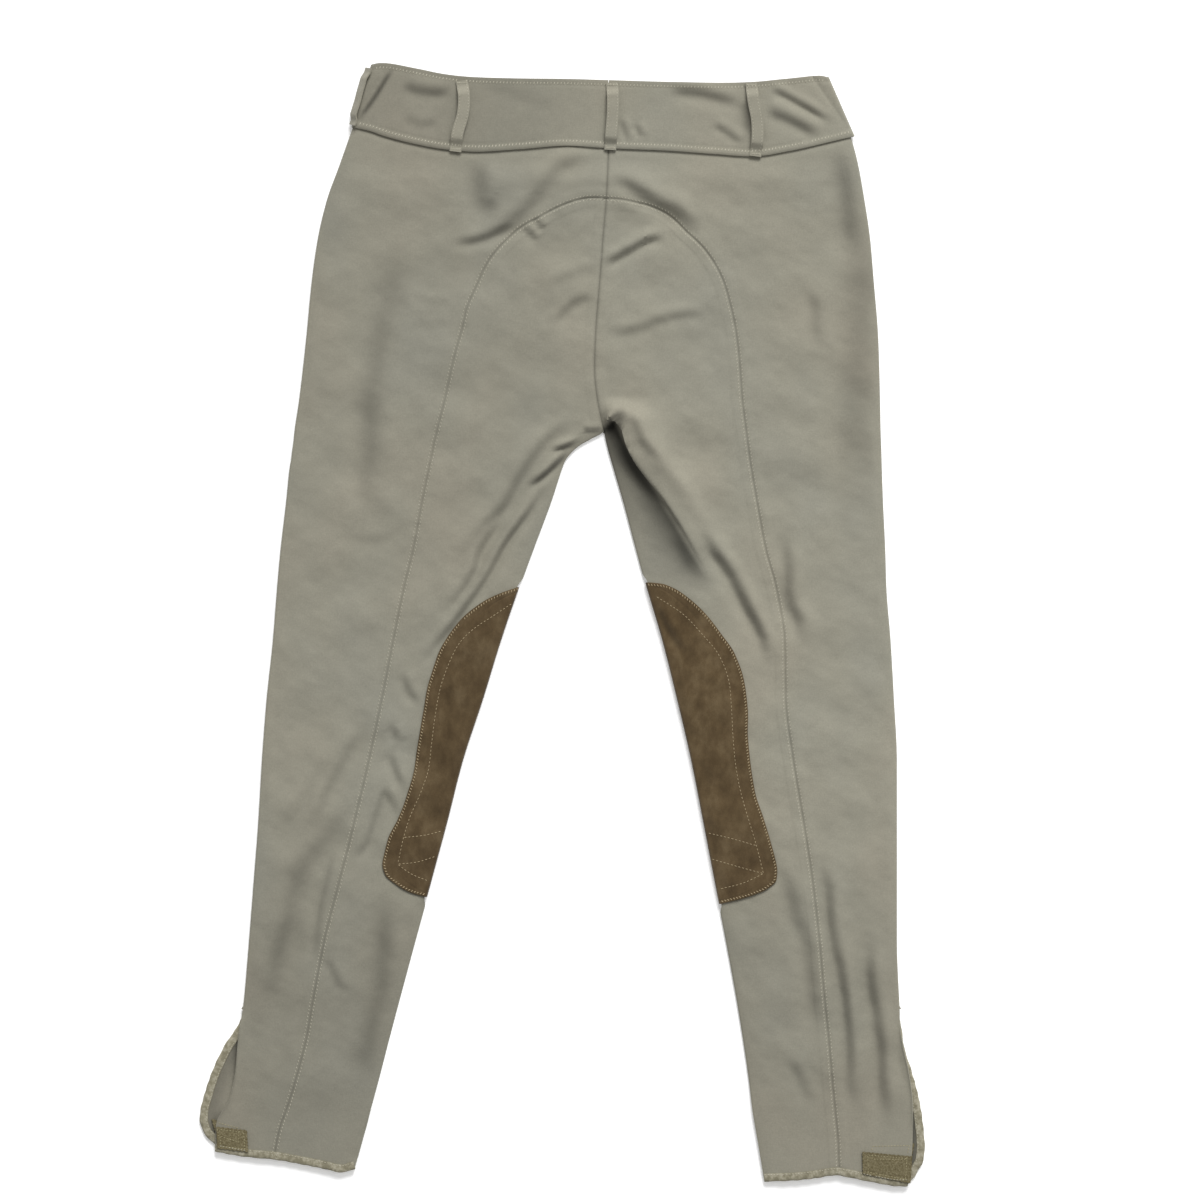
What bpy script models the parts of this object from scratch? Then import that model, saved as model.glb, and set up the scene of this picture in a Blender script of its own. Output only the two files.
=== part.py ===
"""Riding breeches lying flat, back side up.

Metres, +Z up.  +Y runs from the hems to the waist, X across, and the floor is Z = 0.
The tables below are in millimetres in that same frame; MM turns them into metres.
Each piece of cloth is a lofted sheet with a Solidify wall.  The front layer lies on the
floor, the back layer lies on it, and the cloth folds round the outer side of each leg.
"""
import math
from collections import namedtuple

import bmesh
import bpy

MM = 0.001

# Walls
CLOTH = 1.2
SUEDE = 1.5
BAND = 2.4
TAPE = 1.0
TAB = 1.2
LOOP = 1.5
GAP = 0.3

# Seams and edges
SEAM_TRIM = 0.25          # each panel stops this short of a seam line
TAPE_REACH = 6.0          # how far the binding runs in from the edge
TAPE_INSET = 1.5          # bound edges stop this far inside the outline
PATCH_INSET = 2.4         # panel edges under a knee patch
EDGE_FLAT = 9.0           # flat margin that carries the binding
FOLD_STEPS = 4            # facets round a fold
FOLD_BULGE = 1.6          # how far the outer fold rounds out past its panels

# Heights of the middle of the cloth
REST = CLOTH / 2
OVER_PATCH = SUEDE + GAP + CLOTH / 2
OVER_FLY = CLOTH + GAP + CLOTH / 2
HEM_FRONT = TAPE + GAP + CLOTH / 2
HEM_BACK = HEM_FRONT + CLOTH + 2 * TAPE + 3.4 * GAP
LAYER_STEP = CLOTH + 0.4                  # back layer above the front layer at an inseam
BACK = 4.8
BACK_AT_WAIST = 7.0
SIDE_FOLD = 3.2                           # where the fold meets the back layer
SIDE_FOLD_AT_WAIST = 5.6
BAND_FRONT = BAND / 2
BAND_OVERLAP = BAND + GAP + BAND / 2
OVER_LOOP = LOOP + GAP + BAND / 2
PATCH_OVER_SEAT = CLOTH / 2 + 0.5 + SUEDE / 2

CENTRE_FRONT = 34.0
OVERLAP_LENGTH = 38.0
FLY_WIDTH = 32.0
FLY_LENGTH = 160.0
VENT_TOP = -330.0
FLY_STEPS = 8
BAND_LEAN = 13.0          # how far the top of the band leans in at each side
LOOP_WIDTH = 10.0
LOOP_ARCH = 5.2           # clear height for a belt
SIDE_LOOP_LEVEL = 6.9
SIDE_LOOP_TILT = math.radians(60)
STRIP_ROWS = 3
STRIP_COLUMNS = 4

Leg = namedtuple("Leg", "y outer seam inner")
Vent = namedtuple("Vent", "y flap back")
Upper = namedtuple("Upper", "outer_y seam_x seam_y front_y")
Patch = namedtuple("Patch", "y width")
Waist = namedtuple("Waist", "x top seam")
Hem = namedtuple("Hem", "x y")
Fold = namedtuple("Fold", "x1 y1 x2 y2 reach rise")
Side = namedtuple("Side", "name inward legs vents uppers patches hem flap_corner low_rows")
Row = namedtuple("Row", "y upper hem_lift")
Loop = namedtuple("Loop", "name top low level arch tilt")
Strip = namedtuple("Strip", "name corners level")
Edge = namedtuple("Edge", "out up")
Rise = namedtuple("Rise", "along raised")

LEFT_LEGS = [
    Leg(470, -167, 40, 34), Leg(427, -180, 40, 34), Leg(395, -191, 39, 34), Leg(365, -202, 10, 34),
    Leg(331, -210, -46, 34), Leg(296, -215, -70, 34), Leg(245, -220, -89, 34), Leg(193, -226, -100, 34),
    Leg(166, -230, -107.5, 35), Leg(150, -232, -111, 10), Leg(136, -234, -114, 1), Leg(107, -237, -120, -9),
    Leg(64, -242, -128, -25), Leg(31, -245, -136, -37), Leg(-13, -248.5, -145, -52), Leg(-65, -254, -155, -68),
    Leg(-117, -258, -166, -85), Leg(-168, -261, -178, -98), Leg(-220, -265, -191, -112),
    Leg(-271, -269, -204, -126), Leg(-323, -273.5, -214, -140), Leg(-357, -278, -220, -149),
    Leg(-392, -282, -229, -158), Leg(-418, -292, -237, -165), Leg(-435, -296, -243, -170),
    Leg(-475, -300, -250, -182)]
RIGHT_LEGS = [
    Leg(470, 233, 40, 34), Leg(427, 246, 40, 34), Leg(395, 254.5, 39, 34), Leg(365, 260, 50, 34),
    Leg(331, 265, 113, 34), Leg(296, 268, 138, 34), Leg(245, 272, 149, 34), Leg(193, 273.5, 154.5, 34),
    Leg(166, 274, 158, 37), Leg(150, 274.6, 160, 41), Leg(136, 275, 162, 44), Leg(107, 276, 167, 52.5),
    Leg(64, 278, 175, 64), Leg(31, 279, 184, 73), Leg(-13, 282.5, 191, 86), Leg(-65, 285.5, 192, 99),
    Leg(-117, 288, 198.5, 111), Leg(-168, 288, 207, 121), Leg(-220, 288, 215, 131),
    Leg(-271, 288, 221, 141), Leg(-323, 290, 225.5, 150.5), Leg(-357, 292.4, 229, 156),
    Leg(-392, 299, 232, 161), Leg(-418, 301.5, 234.5, 164), Leg(-445, 301, 237, 168.5),
    Leg(-485, 298, 238.5, 175)]

LEFT_VENTS = [Vent(-330, -274, -274), Vent(-345, -279, -277), Vent(-362, -290, -279), Vent(-385, -301, -281),
              Vent(-408, -308.5, -287), Vent(-426, -312, -295), Vent(-440, -307, -298), Vent(-452, -297, -299)]
RIGHT_VENTS = [Vent(-330, 290, 290), Vent(-345, 292, 290.5), Vent(-362, 294, 293), Vent(-385, 301, 298),
               Vent(-408, 307, 301), Vent(-426, 310, 301.5), Vent(-450, 312, 301), Vent(-467, 308, 299),
               Vent(-482, 298, 297)]

# Rows above the crotch: where each starts on the outer fold, the seam and the centre front
LEFT_UPPERS = [
    Upper(427, 40, 409, 398), Upper(405, 39, 388, 372), Upper(384, 38, 366, 346), Upper(366, 24, 366, 322),
    Upper(350, 10, 363, 300), Upper(334, -21, 349, 280), Upper(316, -46, 332, 262), Upper(292, -67, 305, 244),
    Upper(262, -82, 271, 226), Upper(230, -91.5, 234, 206), Upper(198, -99, 198, 186), Upper(166, -107.5, 166, 167)]
RIGHT_UPPERS = [
    Upper(419, 40, 409, 398), Upper(402, 39, 388, 372), Upper(386, 38, 366, 346), Upper(370, 50, 364, 322),
    Upper(354, 63, 362, 300), Upper(338, 93, 351, 280), Upper(318, 115, 330, 262), Upper(292, 134, 303, 244),
    Upper(262, 146, 268, 226), Upper(230, 150.5, 234, 206), Upper(198, 154, 198, 186), Upper(166, 158, 166, 167)]
CORNER = 2                                 # row at which the seam leaves the centre back
ARCH = 4                                   # first row of the seat panel
CENTRE_BACK = [Hem(40, 409), Hem(38, 366), Hem(35, 330), Hem(33, 303), Hem(29, 253), Hem(28, 215),
               Hem(31, 189), Hem(36, 166)]
SEAT_CENTRE_ROWS = [340, 312, 284, 256, 228, 198, 166]

LEFT_PATCHES = [Patch(31, 8), Patch(20, 26), Patch(3, 41), Patch(-22, 50), Patch(-56, 49), Patch(-100, 43),
                Patch(-142, 40), Patch(-178, 46), Patch(-203, 46), Patch(-221, 35), Patch(-232, 13)]
RIGHT_PATCHES = [Patch(35, 9), Patch(23, 33), Patch(3, 48), Patch(-22, 58), Patch(-56, 60), Patch(-100, 53),
                 Patch(-142, 50), Patch(-178, 54), Patch(-207, 56), Patch(-225, 47), Patch(-237, 14)]
PLAIN_WIDTH = 42.0                         # the same column where no patch lies
ROWS_ABOVE_PATCH = [150, 136, 107, 68]
ROWS_BELOW_PATCH = [-268, -302, VENT_TOP, -345, -362, -385, -408, -428]

BACK_WAIST = [
    Waist(-180, 480, 427), Waist(-154, 482.5, 420), Waist(-123, 476, 412), Waist(-100, 472, 408),
    Waist(-74, 470, 406), Waist(-38, 469, 408), Waist(4, 468.5, 411), Waist(40, 467.5, 409),
    Waist(89, 466, 407), Waist(131, 465, 404), Waist(163, 466, 402), Waist(196, 469, 407),
    Waist(230, 472, 415), Waist(251, 470, 420)]
FRONT_CENTRE = Waist(34, 454, 398)
FRONT_WAIST = [Waist(-185, 481, 428), Waist(-100, 466, 408), FRONT_CENTRE, Waist(150, 462, 406),
               Waist(255, 470, 420)]
LEFT_HEM = [Hem(-300, -451), Hem(-273, -458), Hem(-247, -460), Hem(-224, -464), Hem(-204, -468),
            Hem(-189, -471), Hem(-178, -469)]
RIGHT_HEM = [Hem(172, -479), Hem(198, -478), Hem(218, -476), Hem(235, -474), Hem(250, -476), Hem(270, -480),
             Hem(290, -483), Hem(305, -483)]

# The largest folds of the back layer: soft troughs (rise below zero) and ridges
FOLDS = [
    Fold(33, 203, 54, 180, 15, 3.0), Fold(54, 180, 119, 105, 15, 3.0), Fold(43, 165, 63, 126, 13, -2.2),
    Fold(63, 126, 118, 45, 13, -2.0), Fold(21, 176, -26, 147, 13, -2.0), Fold(-26, 147, -51, 104, 13, -2.0),
    Fold(-51, 104, -88, 56, 13, -1.8), Fold(-137, 318, -154, 238, 18, -1.7), Fold(-154, 238, -161, 111, 18, -1.7),
    Fold(26, 398, -17, 376, 15, -1.5), Fold(-17, 376, -43, 343, 15, -1.5), Fold(-43, 343, -86, 332, 15, -1.2),
    Fold(44, 389, 77, 367, 15, -1.5), Fold(77, 367, 109, 344, 15, -1.5), Fold(132, 70, 169, 4, 14, -1.6),
    Fold(169, 4, 179, -37, 14, -1.4), Fold(222, -199, 235, -280, 14, -1.5), Fold(235, -280, 249, -345, 14, -1.5),
    Fold(-187, -155, -226, -209, 14, -1.5), Fold(-226, -209, -251, -311, 14, -1.5)]

# Shares of the way across a panel, one for each column
WRAP_SHARES = (0.0, 0.14, 0.32, 0.54, 0.77, 1.0)
PATCH_COLUMN = 2                           # front columns up to this one lie over the patch
SEAT_PATCH_COLUMN = 3                      # seat columns from this one on lie under it
SEAT_EDGE_DROP = (0.0, 0.0, 0.0, 0.0, 0.25, 1.0)

# A binding's section, outwards from the edge in mm and up in shares of its half height
BINDING = [Edge(-TAPE_REACH, 1), Edge(0.1, 1), Edge(0.85, 0.5), Edge(0.85, -0.5), Edge(0.1, -1),
           Edge(-TAPE_REACH, -1)]
# A belt loop from its top to its bottom, raised between the two tacked ends
LOOP_PROFILE = [Rise(0.0, 0), Rise(0.07, 0), Rise(0.16, 1), Rise(0.5, 1), Rise(0.84, 1), Rise(0.93, 0),
                Rise(1.0, 0)]
ON_BAND = BACK_AT_WAIST + BAND / 2 + GAP + LOOP / 2
LOOPS = [
    Loop("back_left", (-86, 464), (-92, 407), ON_BAND, LOOP_ARCH, 0.0),
    Loop("back_centre", (42, 466), (41, 409), ON_BAND, LOOP_ARCH, 0.0),
    Loop("back_right", (163, 465), (166, 402), ON_BAND, LOOP_ARCH, 0.0),
    Loop("front_left", (-170.5, 477), (-182, 429), SIDE_LOOP_LEVEL, LOOP_ARCH, SIDE_LOOP_TILT),
    Loop("front_right", (206, 466), (212, 413), LOOP / 2, 0.0, 0.0)]
ON_BACK = HEM_BACK + CLOTH / 2 + GAP + TAB / 2
ON_FLAP = HEM_FRONT + CLOTH / 2 + GAP + TAB / 2
STRIPS = [
    Strip("ankle_tab_left", [(-296, -431), (-271, -435), (-273, -450), (-295, -444)], ON_BACK),
    Strip("ankle_tab_right", [(258, -453), (300, -456), (298, -474), (258, -468)], ON_BACK),
    Strip("flap_strip_left", [(-301, -425), (-275, -432), (-275, -447), (-297, -440)], ON_FLAP),
    Strip("flap_strip_right", [(262, -447), (303, -446), (300, -461), (262, -461)], ON_FLAP)]

COLOURS = {
    "breeches_cloth": (0.30, 0.28, 0.21, 1.0),
    "patch_suede": (0.115, 0.080, 0.045, 1.0),
    "hem_tape": (0.36, 0.35, 0.29, 1.0),
    "fastening_tape": (0.16, 0.13, 0.08, 1.0),
}


# ---------------------------------------------------------------- curves

def smooth_step(value):
    """0 below 0, 1 above 1, eased between."""
    t = min(max(value, 0.0), 1.0)
    return t * t * (3 - 2 * t)


def curve_through(rows, key, value):
    """A smooth function of one column of a table, through the values of another."""
    points = sorted((getattr(row, key), getattr(row, value)) for row in rows)
    xs = [p[0] for p in points]
    ys = [p[1] for p in points]
    slopes = [(ys[i + 1] - ys[i]) / (xs[i + 1] - xs[i]) for i in range(len(xs) - 1)]
    tangents = [slopes[0]]
    for before, after in zip(slopes, slopes[1:]):
        same_way = before * after > 0
        tangents.append(2 * before * after / (before + after) if same_way else 0.0)
    tangents.append(slopes[-1])

    def at(x):
        x = min(max(x, xs[0]), xs[-1])
        i = max(k for k in range(len(xs) - 1) if xs[k] <= x)
        h = xs[i + 1] - xs[i]
        t = (x - xs[i]) / h
        return (ys[i] * (1 + 2 * t) * (1 - t) ** 2 + h * tangents[i] * t * (1 - t) ** 2
                + ys[i + 1] * t * t * (3 - 2 * t) - h * tangents[i + 1] * t * t * (1 - t))
    return at


def mix(a, b, t):
    """The point or number a share t of the way from a to b."""
    if isinstance(a, tuple):
        return tuple(p + (q - p) * t for p, q in zip(a, b))
    return a + (b - a) * t


def inset(points, distance):
    """A run of XY points moved to the left of its direction."""
    moved = []
    for i, (x, y) in enumerate(points):
        x0, y0 = points[max(i - 1, 0)]
        x1, y1 = points[min(i + 1, len(points) - 1)]
        length = math.hypot(x1 - x0, y1 - y0)
        moved.append((x - (y1 - y0) / length * distance, y + (x1 - x0) / length * distance))
    return moved


def bowed(points, seam, straight, share):
    """Inner points of a run moved a share of the way from a straight seam to the real one."""
    first, last = points[0][0], points[-1][0]
    moved = [points[0]]
    for x, y in points[1:-1]:
        flat = mix(straight[0], straight[1], (x - first) / (last - first))
        moved.append((x, y + share * (seam(x) - flat)))
    return moved + [points[-1]]


def fold_height(x, y):
    """How far the large folds lift or lower the back layer at a point."""
    total = 0.0
    for fold in FOLDS:
        dx, dy = fold.x2 - fold.x1, fold.y2 - fold.y1
        t = ((x - fold.x1) * dx + (y - fold.y1) * dy) / (dx * dx + dy * dy)
        t = min(max(t, 0.0), 1.0)
        away = math.hypot(x - fold.x1 - t * dx, y - fold.y1 - t * dy) / fold.reach
        if away < 1:
            height = fold.rise * (1 - smooth_step(away))
            total = max(total, height) if height > 0 else min(total, height)
    return total


def back_level(y):
    """Height of the back layer away from its folds and edges."""
    at_waist = smooth_step((y - 320) / 80)
    at_hem = smooth_step((-395 - y) / 30)
    return BACK + (BACK_AT_WAIST - BACK) * at_waist + (HEM_BACK - BACK) * at_hem


def fold_top_level(y):
    """Height at which the side fold runs into the back layer."""
    return mix(SIDE_FOLD, SIDE_FOLD_AT_WAIST, smooth_step((y - 320) / 80))


def front_level(y, under):
    """Height of the front layer, which lies on what is under it."""
    at_hem = smooth_step((-385 - y) / 40)
    at_waist = smooth_step((y - 380) / 18)
    return max(under, mix(REST, HEM_FRONT, at_hem), mix(REST, BAND_FRONT, at_waist))


# ---------------------------------------------------------------- building

def material(name):
    found = bpy.data.materials.get(name)
    if found:
        return found
    made = bpy.data.materials.new(name)
    made.use_nodes = True
    shader = made.node_tree.nodes["Principled BSDF"]
    shader.inputs["Base Color"].default_value = COLOURS[name]
    shader.inputs["Roughness"].default_value = 0.9
    shader.inputs["Metallic"].default_value = 0.0
    return made


def half_turn(start, low, high, out):
    """The inner points of a fold from one height to another, bulging out by a distance in X."""
    points = []
    for step in range(1, FOLD_STEPS):
        angle = math.pi * step / FOLD_STEPS
        height = mix(low, high, (1 - math.cos(angle)) / 2)
        points.append((start[0] + out * math.sin(angle), start[1], height))
    return points


def sheet(name, grid, wall, finish, leave_out=None):
    """A sheet of cloth: a grid whose vertices take the rows of points, with an even wall."""
    rows, columns = len(grid), len(grid[0])
    bm = bmesh.new()
    bmesh.ops.create_grid(bm, x_segments=columns - 1, y_segments=rows - 1, size=1.0)
    bm.verts.ensure_lookup_table()
    for r, row in enumerate(grid):
        for c, point in enumerate(row):
            bm.verts[r * columns + c].co = [value * MM for value in point]
    if leave_out:
        gone = []
        for face in bm.faces:
            places = [divmod(vert.index, columns) for vert in face.verts]
            if leave_out(min(r for r, c in places), min(c for r, c in places)):
                gone.append(face)
        bmesh.ops.delete(bm, geom=gone, context="FACES")
    mesh = bpy.data.meshes.new(name)
    bm.to_mesh(mesh)
    bm.free()
    mesh.shade_smooth()
    mesh.materials.append(material(finish))
    obj = bpy.data.objects.new(name, mesh)
    PARTS.objects.link(obj)
    solid = obj.modifiers.new("Wall", "SOLIDIFY")
    solid.thickness = wall * MM
    solid.offset = 0.0
    solid.use_even_offset = True
    return obj


# ---------------------------------------------------------------- leg panels

class LegShape:
    """One leg: its outlines as functions of the tables, and the grids of its two panels."""

    def __init__(self, side):
        self.side = side
        self.to_inner = side.inward            # +1 where the inseam lies towards +X
        self.outer = curve_through(side.legs, "y", "outer")
        self.seam = curve_through(side.legs, "y", "seam")
        self.inner = curve_through(side.legs, "y", "inner")
        self.flap = curve_through(side.vents, "y", "flap")
        self.vent = curve_through(side.vents, "y", "back")
        self.patch_width = curve_through(side.patches, "y", "width")
        self.back_seam = curve_through(BACK_WAIST, "x", "seam")
        self.front_seam = curve_through(FRONT_WAIST, "x", "seam")
        self.hem = curve_through(side.hem, "x", "y")
        self.centre = curve_through(CENTRE_BACK, "y", "x")
        self.fly_end = side.uppers[0].front_y - FLY_LENGTH
        plain = ROWS_ABOVE_PATCH + [row.y for row in side.patches] + ROWS_BELOW_PATCH + side.low_rows
        hem_level = side.hem[3].y
        self.rows = [Row(upper.outer_y, upper, None) for upper in side.uppers]
        self.rows += [Row(y, None, None) for y in plain]
        self.rows += [Row(hem_level, None, EDGE_FLAT), Row(hem_level, None, TAPE_INSET)]
        self.vent_first = next(r for r, row in enumerate(self.rows) if row.y < VENT_TOP + 1)
        seam_hem = self.seam(hem_level)
        line = [(row.seam_x, row.seam_y) for row in side.uppers[CORNER:]] + [(self.seam(y), y) for y in plain]
        line += [(seam_hem, self.hem(seam_hem) + lift) for lift in (EDGE_FLAT, TAPE_INSET)]
        self.corner_x = line[0][0] - self.to_inner * SEAM_TRIM
        self.wrap_side = inset(line, -self.to_inner * SEAM_TRIM)
        self.wrap_side[0] = (self.corner_x, line[0][1] + SEAM_TRIM)
        self.seat_side = inset(line, self.to_inner * SEAM_TRIM)

    def patched(self, y):
        return self.side.patches[-1].y <= y <= self.side.patches[0].y

    def inner_edge(self, y):
        return self.inner(y) - self.to_inner * (PATCH_INSET if self.patched(y) else 0.0)

    def fold_start(self, y):
        return self.outer(y) + self.to_inner * (CLOTH / 2 + FOLD_BULGE)

    def edge_column(self, y):
        """Width at the inner edge of a panel, that of the patch where one lies there."""
        if self.patched(y):
            return self.patch_width(y)
        return min(PLAIN_WIDTH, 0.45 * abs(self.inner_edge(y) - self.seam(y)))

    def on_hem(self, points, row):
        return [(x, self.hem(x) + row.hem_lift) for x, _ in points]

    def front_outline(self, r):
        """XY points of a row of the front layer, from its inner edge to its outer edge."""
        row = self.rows[r]
        y = self.hem(self.side.flap_corner) + row.hem_lift if row.hem_lift else row.y
        width = PLAIN_WIDTH if row.upper else self.edge_column(y)
        start = (self.inner_edge(y), y)
        if row.upper:
            start = (CENTRE_FRONT - self.to_inner * SEAM_TRIM, row.upper.front_y)
        end_x = self.flap(y) + self.to_inner * TAPE_INSET if r > self.vent_first else self.fold_start(y)
        across = abs(end_x - start[0])
        patch, margin = width / across, 1 - EDGE_FLAT / across
        shares = (0.0, patch / 2, patch, mix(patch, margin, 0.33), mix(patch, margin, 0.67), margin, 1.0)
        points = [mix(start, (end_x, y), share) for share in shares]
        if row.hem_lift:
            return self.on_hem(points, row)
        if row.upper:
            top = self.side.uppers[0]
            return bowed(points, self.front_seam, (top.front_y, top.outer_y), 1 - smooth_step(r / 4))
        return points

    def front_under(self, r, column, y):
        """Height that a hidden piece below gives the front layer."""
        row = self.rows[r]
        near = column <= PATCH_COLUMN
        if not row.upper:
            return OVER_PATCH if near and self.patched(row.y) else REST
        if self.side.name == "left":
            return OVER_FLY if near and y > self.fly_end - EDGE_FLAT * 3 else REST
        if r == 0 and near:
            return BAND_OVERLAP
        return OVER_LOOP if r == 0 and column > PATCH_COLUMN + 1 else REST

    def front_row(self, r):
        row = self.rows[r]
        outline = self.front_outline(r)
        points = []
        for column, (x, y) in enumerate(outline):
            level_y = y if row.upper else row.y
            height = front_level(level_y, self.front_under(r, column, y))
            if r > self.vent_first and column >= len(outline) - 2:
                height = max(height, HEM_FRONT)
            points.append((x, y, height))
        return points

    def wrap_row(self, r):
        """Points of the back layer from the outer edge to the curved back seam."""
        row = self.rows[r]
        if r >= CORNER:
            end = self.wrap_side[r - CORNER]
        else:
            end = (self.centre(row.upper.seam_y) - self.to_inner * SEAM_TRIM, row.upper.seam_y)
        start_x = self.vent(row.y) if r > self.vent_first else self.fold_start(row.y)
        if row.hem_lift:
            start_x = self.side.flap_corner
        points = [mix((start_x, row.y), end, share) for share in WRAP_SHARES]
        if row.hem_lift:
            points = self.on_hem(points[:-1], row) + [end]
        if row.upper:
            top = self.side.uppers[0]
            points = bowed(points, self.back_seam, (top.outer_y, top.seam_y), 1 - smooth_step(r / 4))
        raised = [(x, y, self.back_height(row, x, y)) for x, y in points]
        if r <= self.vent_first:
            raised[0] = (*points[0], fold_top_level(row.y))
        return raised

    def back_height(self, row, x, y):
        if row is self.rows[0]:
            return BACK_AT_WAIST
        return HEM_BACK if row.hem_lift else back_level(y) + fold_height(x, y)

    def panel_row(self, r):
        """A row of the whole wrapped panel: front layer, outer fold, back layer."""
        front, back = self.front_row(r), self.wrap_row(r)
        turn = half_turn(front[-1], front[-1][2], back[0][2], -self.to_inner * FOLD_BULGE)
        return front + turn + back

    def seat_top(self):
        """The short first row of the seat panel, under the top of the arch."""
        first, middle = self.seat_side[2], self.seat_side[1]
        corner = (self.corner_x, self.seat_side[0][1])
        outline = [first, mix(first, middle, 0.5), middle, mix(middle, corner, 1 / 3),
                   mix(middle, corner, 2 / 3), corner]
        return [(x, y, back_level(y) + fold_height(x, y)) for x, y in outline]

    def seat_row(self, r, edge_level):
        """Points of the seat panel from the curved seam to the centre back or the inseam."""
        row, start = self.rows[r], self.seat_side[r - CORNER]
        if row.upper:
            y = SEAT_CENTRE_ROWS[r - ARCH - 1]
            end = (self.centre(y) - self.to_inner * SEAM_TRIM, y)
            width = min(PLAIN_WIDTH, 0.4 * abs(end[0] - start[0]))
            drop = smooth_step((200 - y) / 40)
        else:
            end = (self.inner_edge(row.y), row.y)
            width = self.edge_column(row.y)
            drop = 1.0
        line = 1 - width / abs(end[0] - start[0])
        outline = [mix(start, end, share) for share in (0.0, line / 3, line * 2 / 3, line, (1 + line) / 2, 1.0)]
        if row.hem_lift:
            outline = [start] + self.on_hem(outline[1:], row)
            drop = 0.0
        points = []
        for column, (x, y) in enumerate(outline):
            height = mix(self.back_height(row, x, y), edge_level + LAYER_STEP, drop * SEAT_EDGE_DROP[column])
            below = edge_level if column >= SEAT_PATCH_COLUMN else REST
            points.append((x, y, max(height, below + LAYER_STEP)))
        return points

    def grids(self):
        panel = [self.panel_row(r) for r in range(len(self.rows))]
        seat = [self.seat_top()]
        seat += [self.seat_row(r, panel[r][0][2]) for r in range(ARCH + 1, len(self.rows))]
        return panel, seat


# ---------------------------------------------------------------- pieces on the panels

def knee_patch(leg, panel, seat):
    """Suede round the inseam: one limb on the seat panel, one under the front panel."""
    first = len(leg.side.uppers) + len(ROWS_ABOVE_PATCH)
    low = SUEDE / 2
    grid = []
    for r in range(first, first + len(leg.side.patches)):
        top = [(x, y, z + PATCH_OVER_SEAT) for x, y, z in seat[r - ARCH][SEAT_PATCH_COLUMN:]]
        bottom = [(x, y, low) for x, y, z in panel[r][:PATCH_COLUMN + 1]]
        turn = half_turn(top[-1], top[-1][2], low, leg.to_inner * (PATCH_INSET - low))
        grid.append(top + turn + bottom)
    sheet(f"knee_patch_{leg.side.name}", grid, SUEDE, "patch_suede")


def binding(name, path, inward):
    """A folded tape round an edge; the path gives the cloth's edge at its middle height."""
    half = CLOTH / 2 + GAP + TAPE / 2
    flat = [(x, y) for x, y, z in path]
    grid = []
    for edge in BINDING:
        moved = inset(flat, -inward * edge.out)
        grid.append([(x, y, z + edge.up * half) for (x, y), (_, _, z) in zip(moved, path)])
    sheet(name, grid, TAPE, "hem_tape")


def strip(name, corners, level):
    """A small flat tape between four corners, its middle at one height."""
    a, b, c, d = corners
    grid = []
    for r in range(STRIP_ROWS + 1):
        start, end = mix(a, d, r / STRIP_ROWS), mix(b, c, r / STRIP_ROWS)
        grid.append([(*mix(start, end, k / STRIP_COLUMNS), level) for k in range(STRIP_COLUMNS + 1)])
    sheet(name, grid, TAB, "fastening_tape")


# ---------------------------------------------------------------- waistband and loops

def waistband(leg, waist_row, first_fold, last_fold):
    """Half of the contoured band, round the side from the centre front to the centre back."""
    back_top = curve_through(BACK_WAIST, "x", "top")
    front_top = curve_through(FRONT_WAIST, "x", "top")
    lean = leg.to_inner * BAND_LEAN
    front_end = front_top(waist_row[first_fold][0] + lean)
    back_end = back_top(waist_row[last_fold][0] + lean)
    lift = 2 * SEAM_TRIM
    low, high = [], []
    for c, (x, y, z) in enumerate(waist_row):
        shift, out = lean, 0.0
        if c <= first_fold:
            shift = lean * smooth_step((c - 3) / 3)
            top_y = front_top(x + shift)
        elif c < last_fold:
            out = leg.to_inner * (BAND - CLOTH) / 2
            top_y = mix(front_end, back_end, (c - first_fold) / (last_fold - first_fold))
        else:
            shift = lean * (1 - smooth_step((c - last_fold) / 3))
            top_y = back_top(x + shift)
        level = max(z, BAND_FRONT)
        low.append((x + out, y + lift, level))
        high.append((x + shift + out, top_y, level))
    if leg.side.name == "left":
        low = underlap(low, FRONT_CENTRE.seam + lift)
        high = underlap(high, FRONT_CENTRE.top)
    grid = [[mix(a, b, step / 3) for a, b in zip(low, high)] for step in range(4)]
    sheet(f"waistband_{leg.side.name}", grid, BAND, "breeches_cloth")


def underlap(run, y):
    """A run of the band made longer at the centre front, flat where it lies under the other half."""
    flat = [(x, y, BAND_FRONT) for x, y, z in run[:PATCH_COLUMN + 1]]
    return [(flat[0][0] + OVERLAP_LENGTH, y, BAND_FRONT)] + flat + run[PATCH_COLUMN + 1:]


def belt_loop(loop):
    """A loop tacked at both ends, arched for a belt; tilt turns it to face the left side."""
    grid = []
    for rise in LOOP_PROFILE:
        x, y = mix(loop.top, loop.low, rise.along)
        out = rise.raised * loop.arch
        row = []
        for across in (-LOOP_WIDTH / 2, 0.0, LOOP_WIDTH / 2):
            row.append((x - out * math.sin(loop.tilt) + across * math.cos(loop.tilt), y,
                        loop.level + out * math.cos(loop.tilt) + across * math.sin(loop.tilt)))
        grid.append(row)
    sheet(f"belt_loop_{loop.name}", grid, LOOP, "breeches_cloth")


def fly_flap():
    """The J-shaped fly over the centre front, on the floor side."""
    x, top = CENTRE_FRONT - 1.0, FRONT_CENTRE.seam - 1.0
    grid = []
    for r in range(FLY_STEPS + 1):
        y = top - FLY_LENGTH * r / FLY_STEPS
        width = FLY_WIDTH * (1 - 0.75 * smooth_step((r - 5) / 3))
        grid.append([(x - width * k / 2, y, CLOTH / 2) for k in range(3)])
    sheet("fly_flap", grid, CLOTH, "breeches_cloth")


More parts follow.
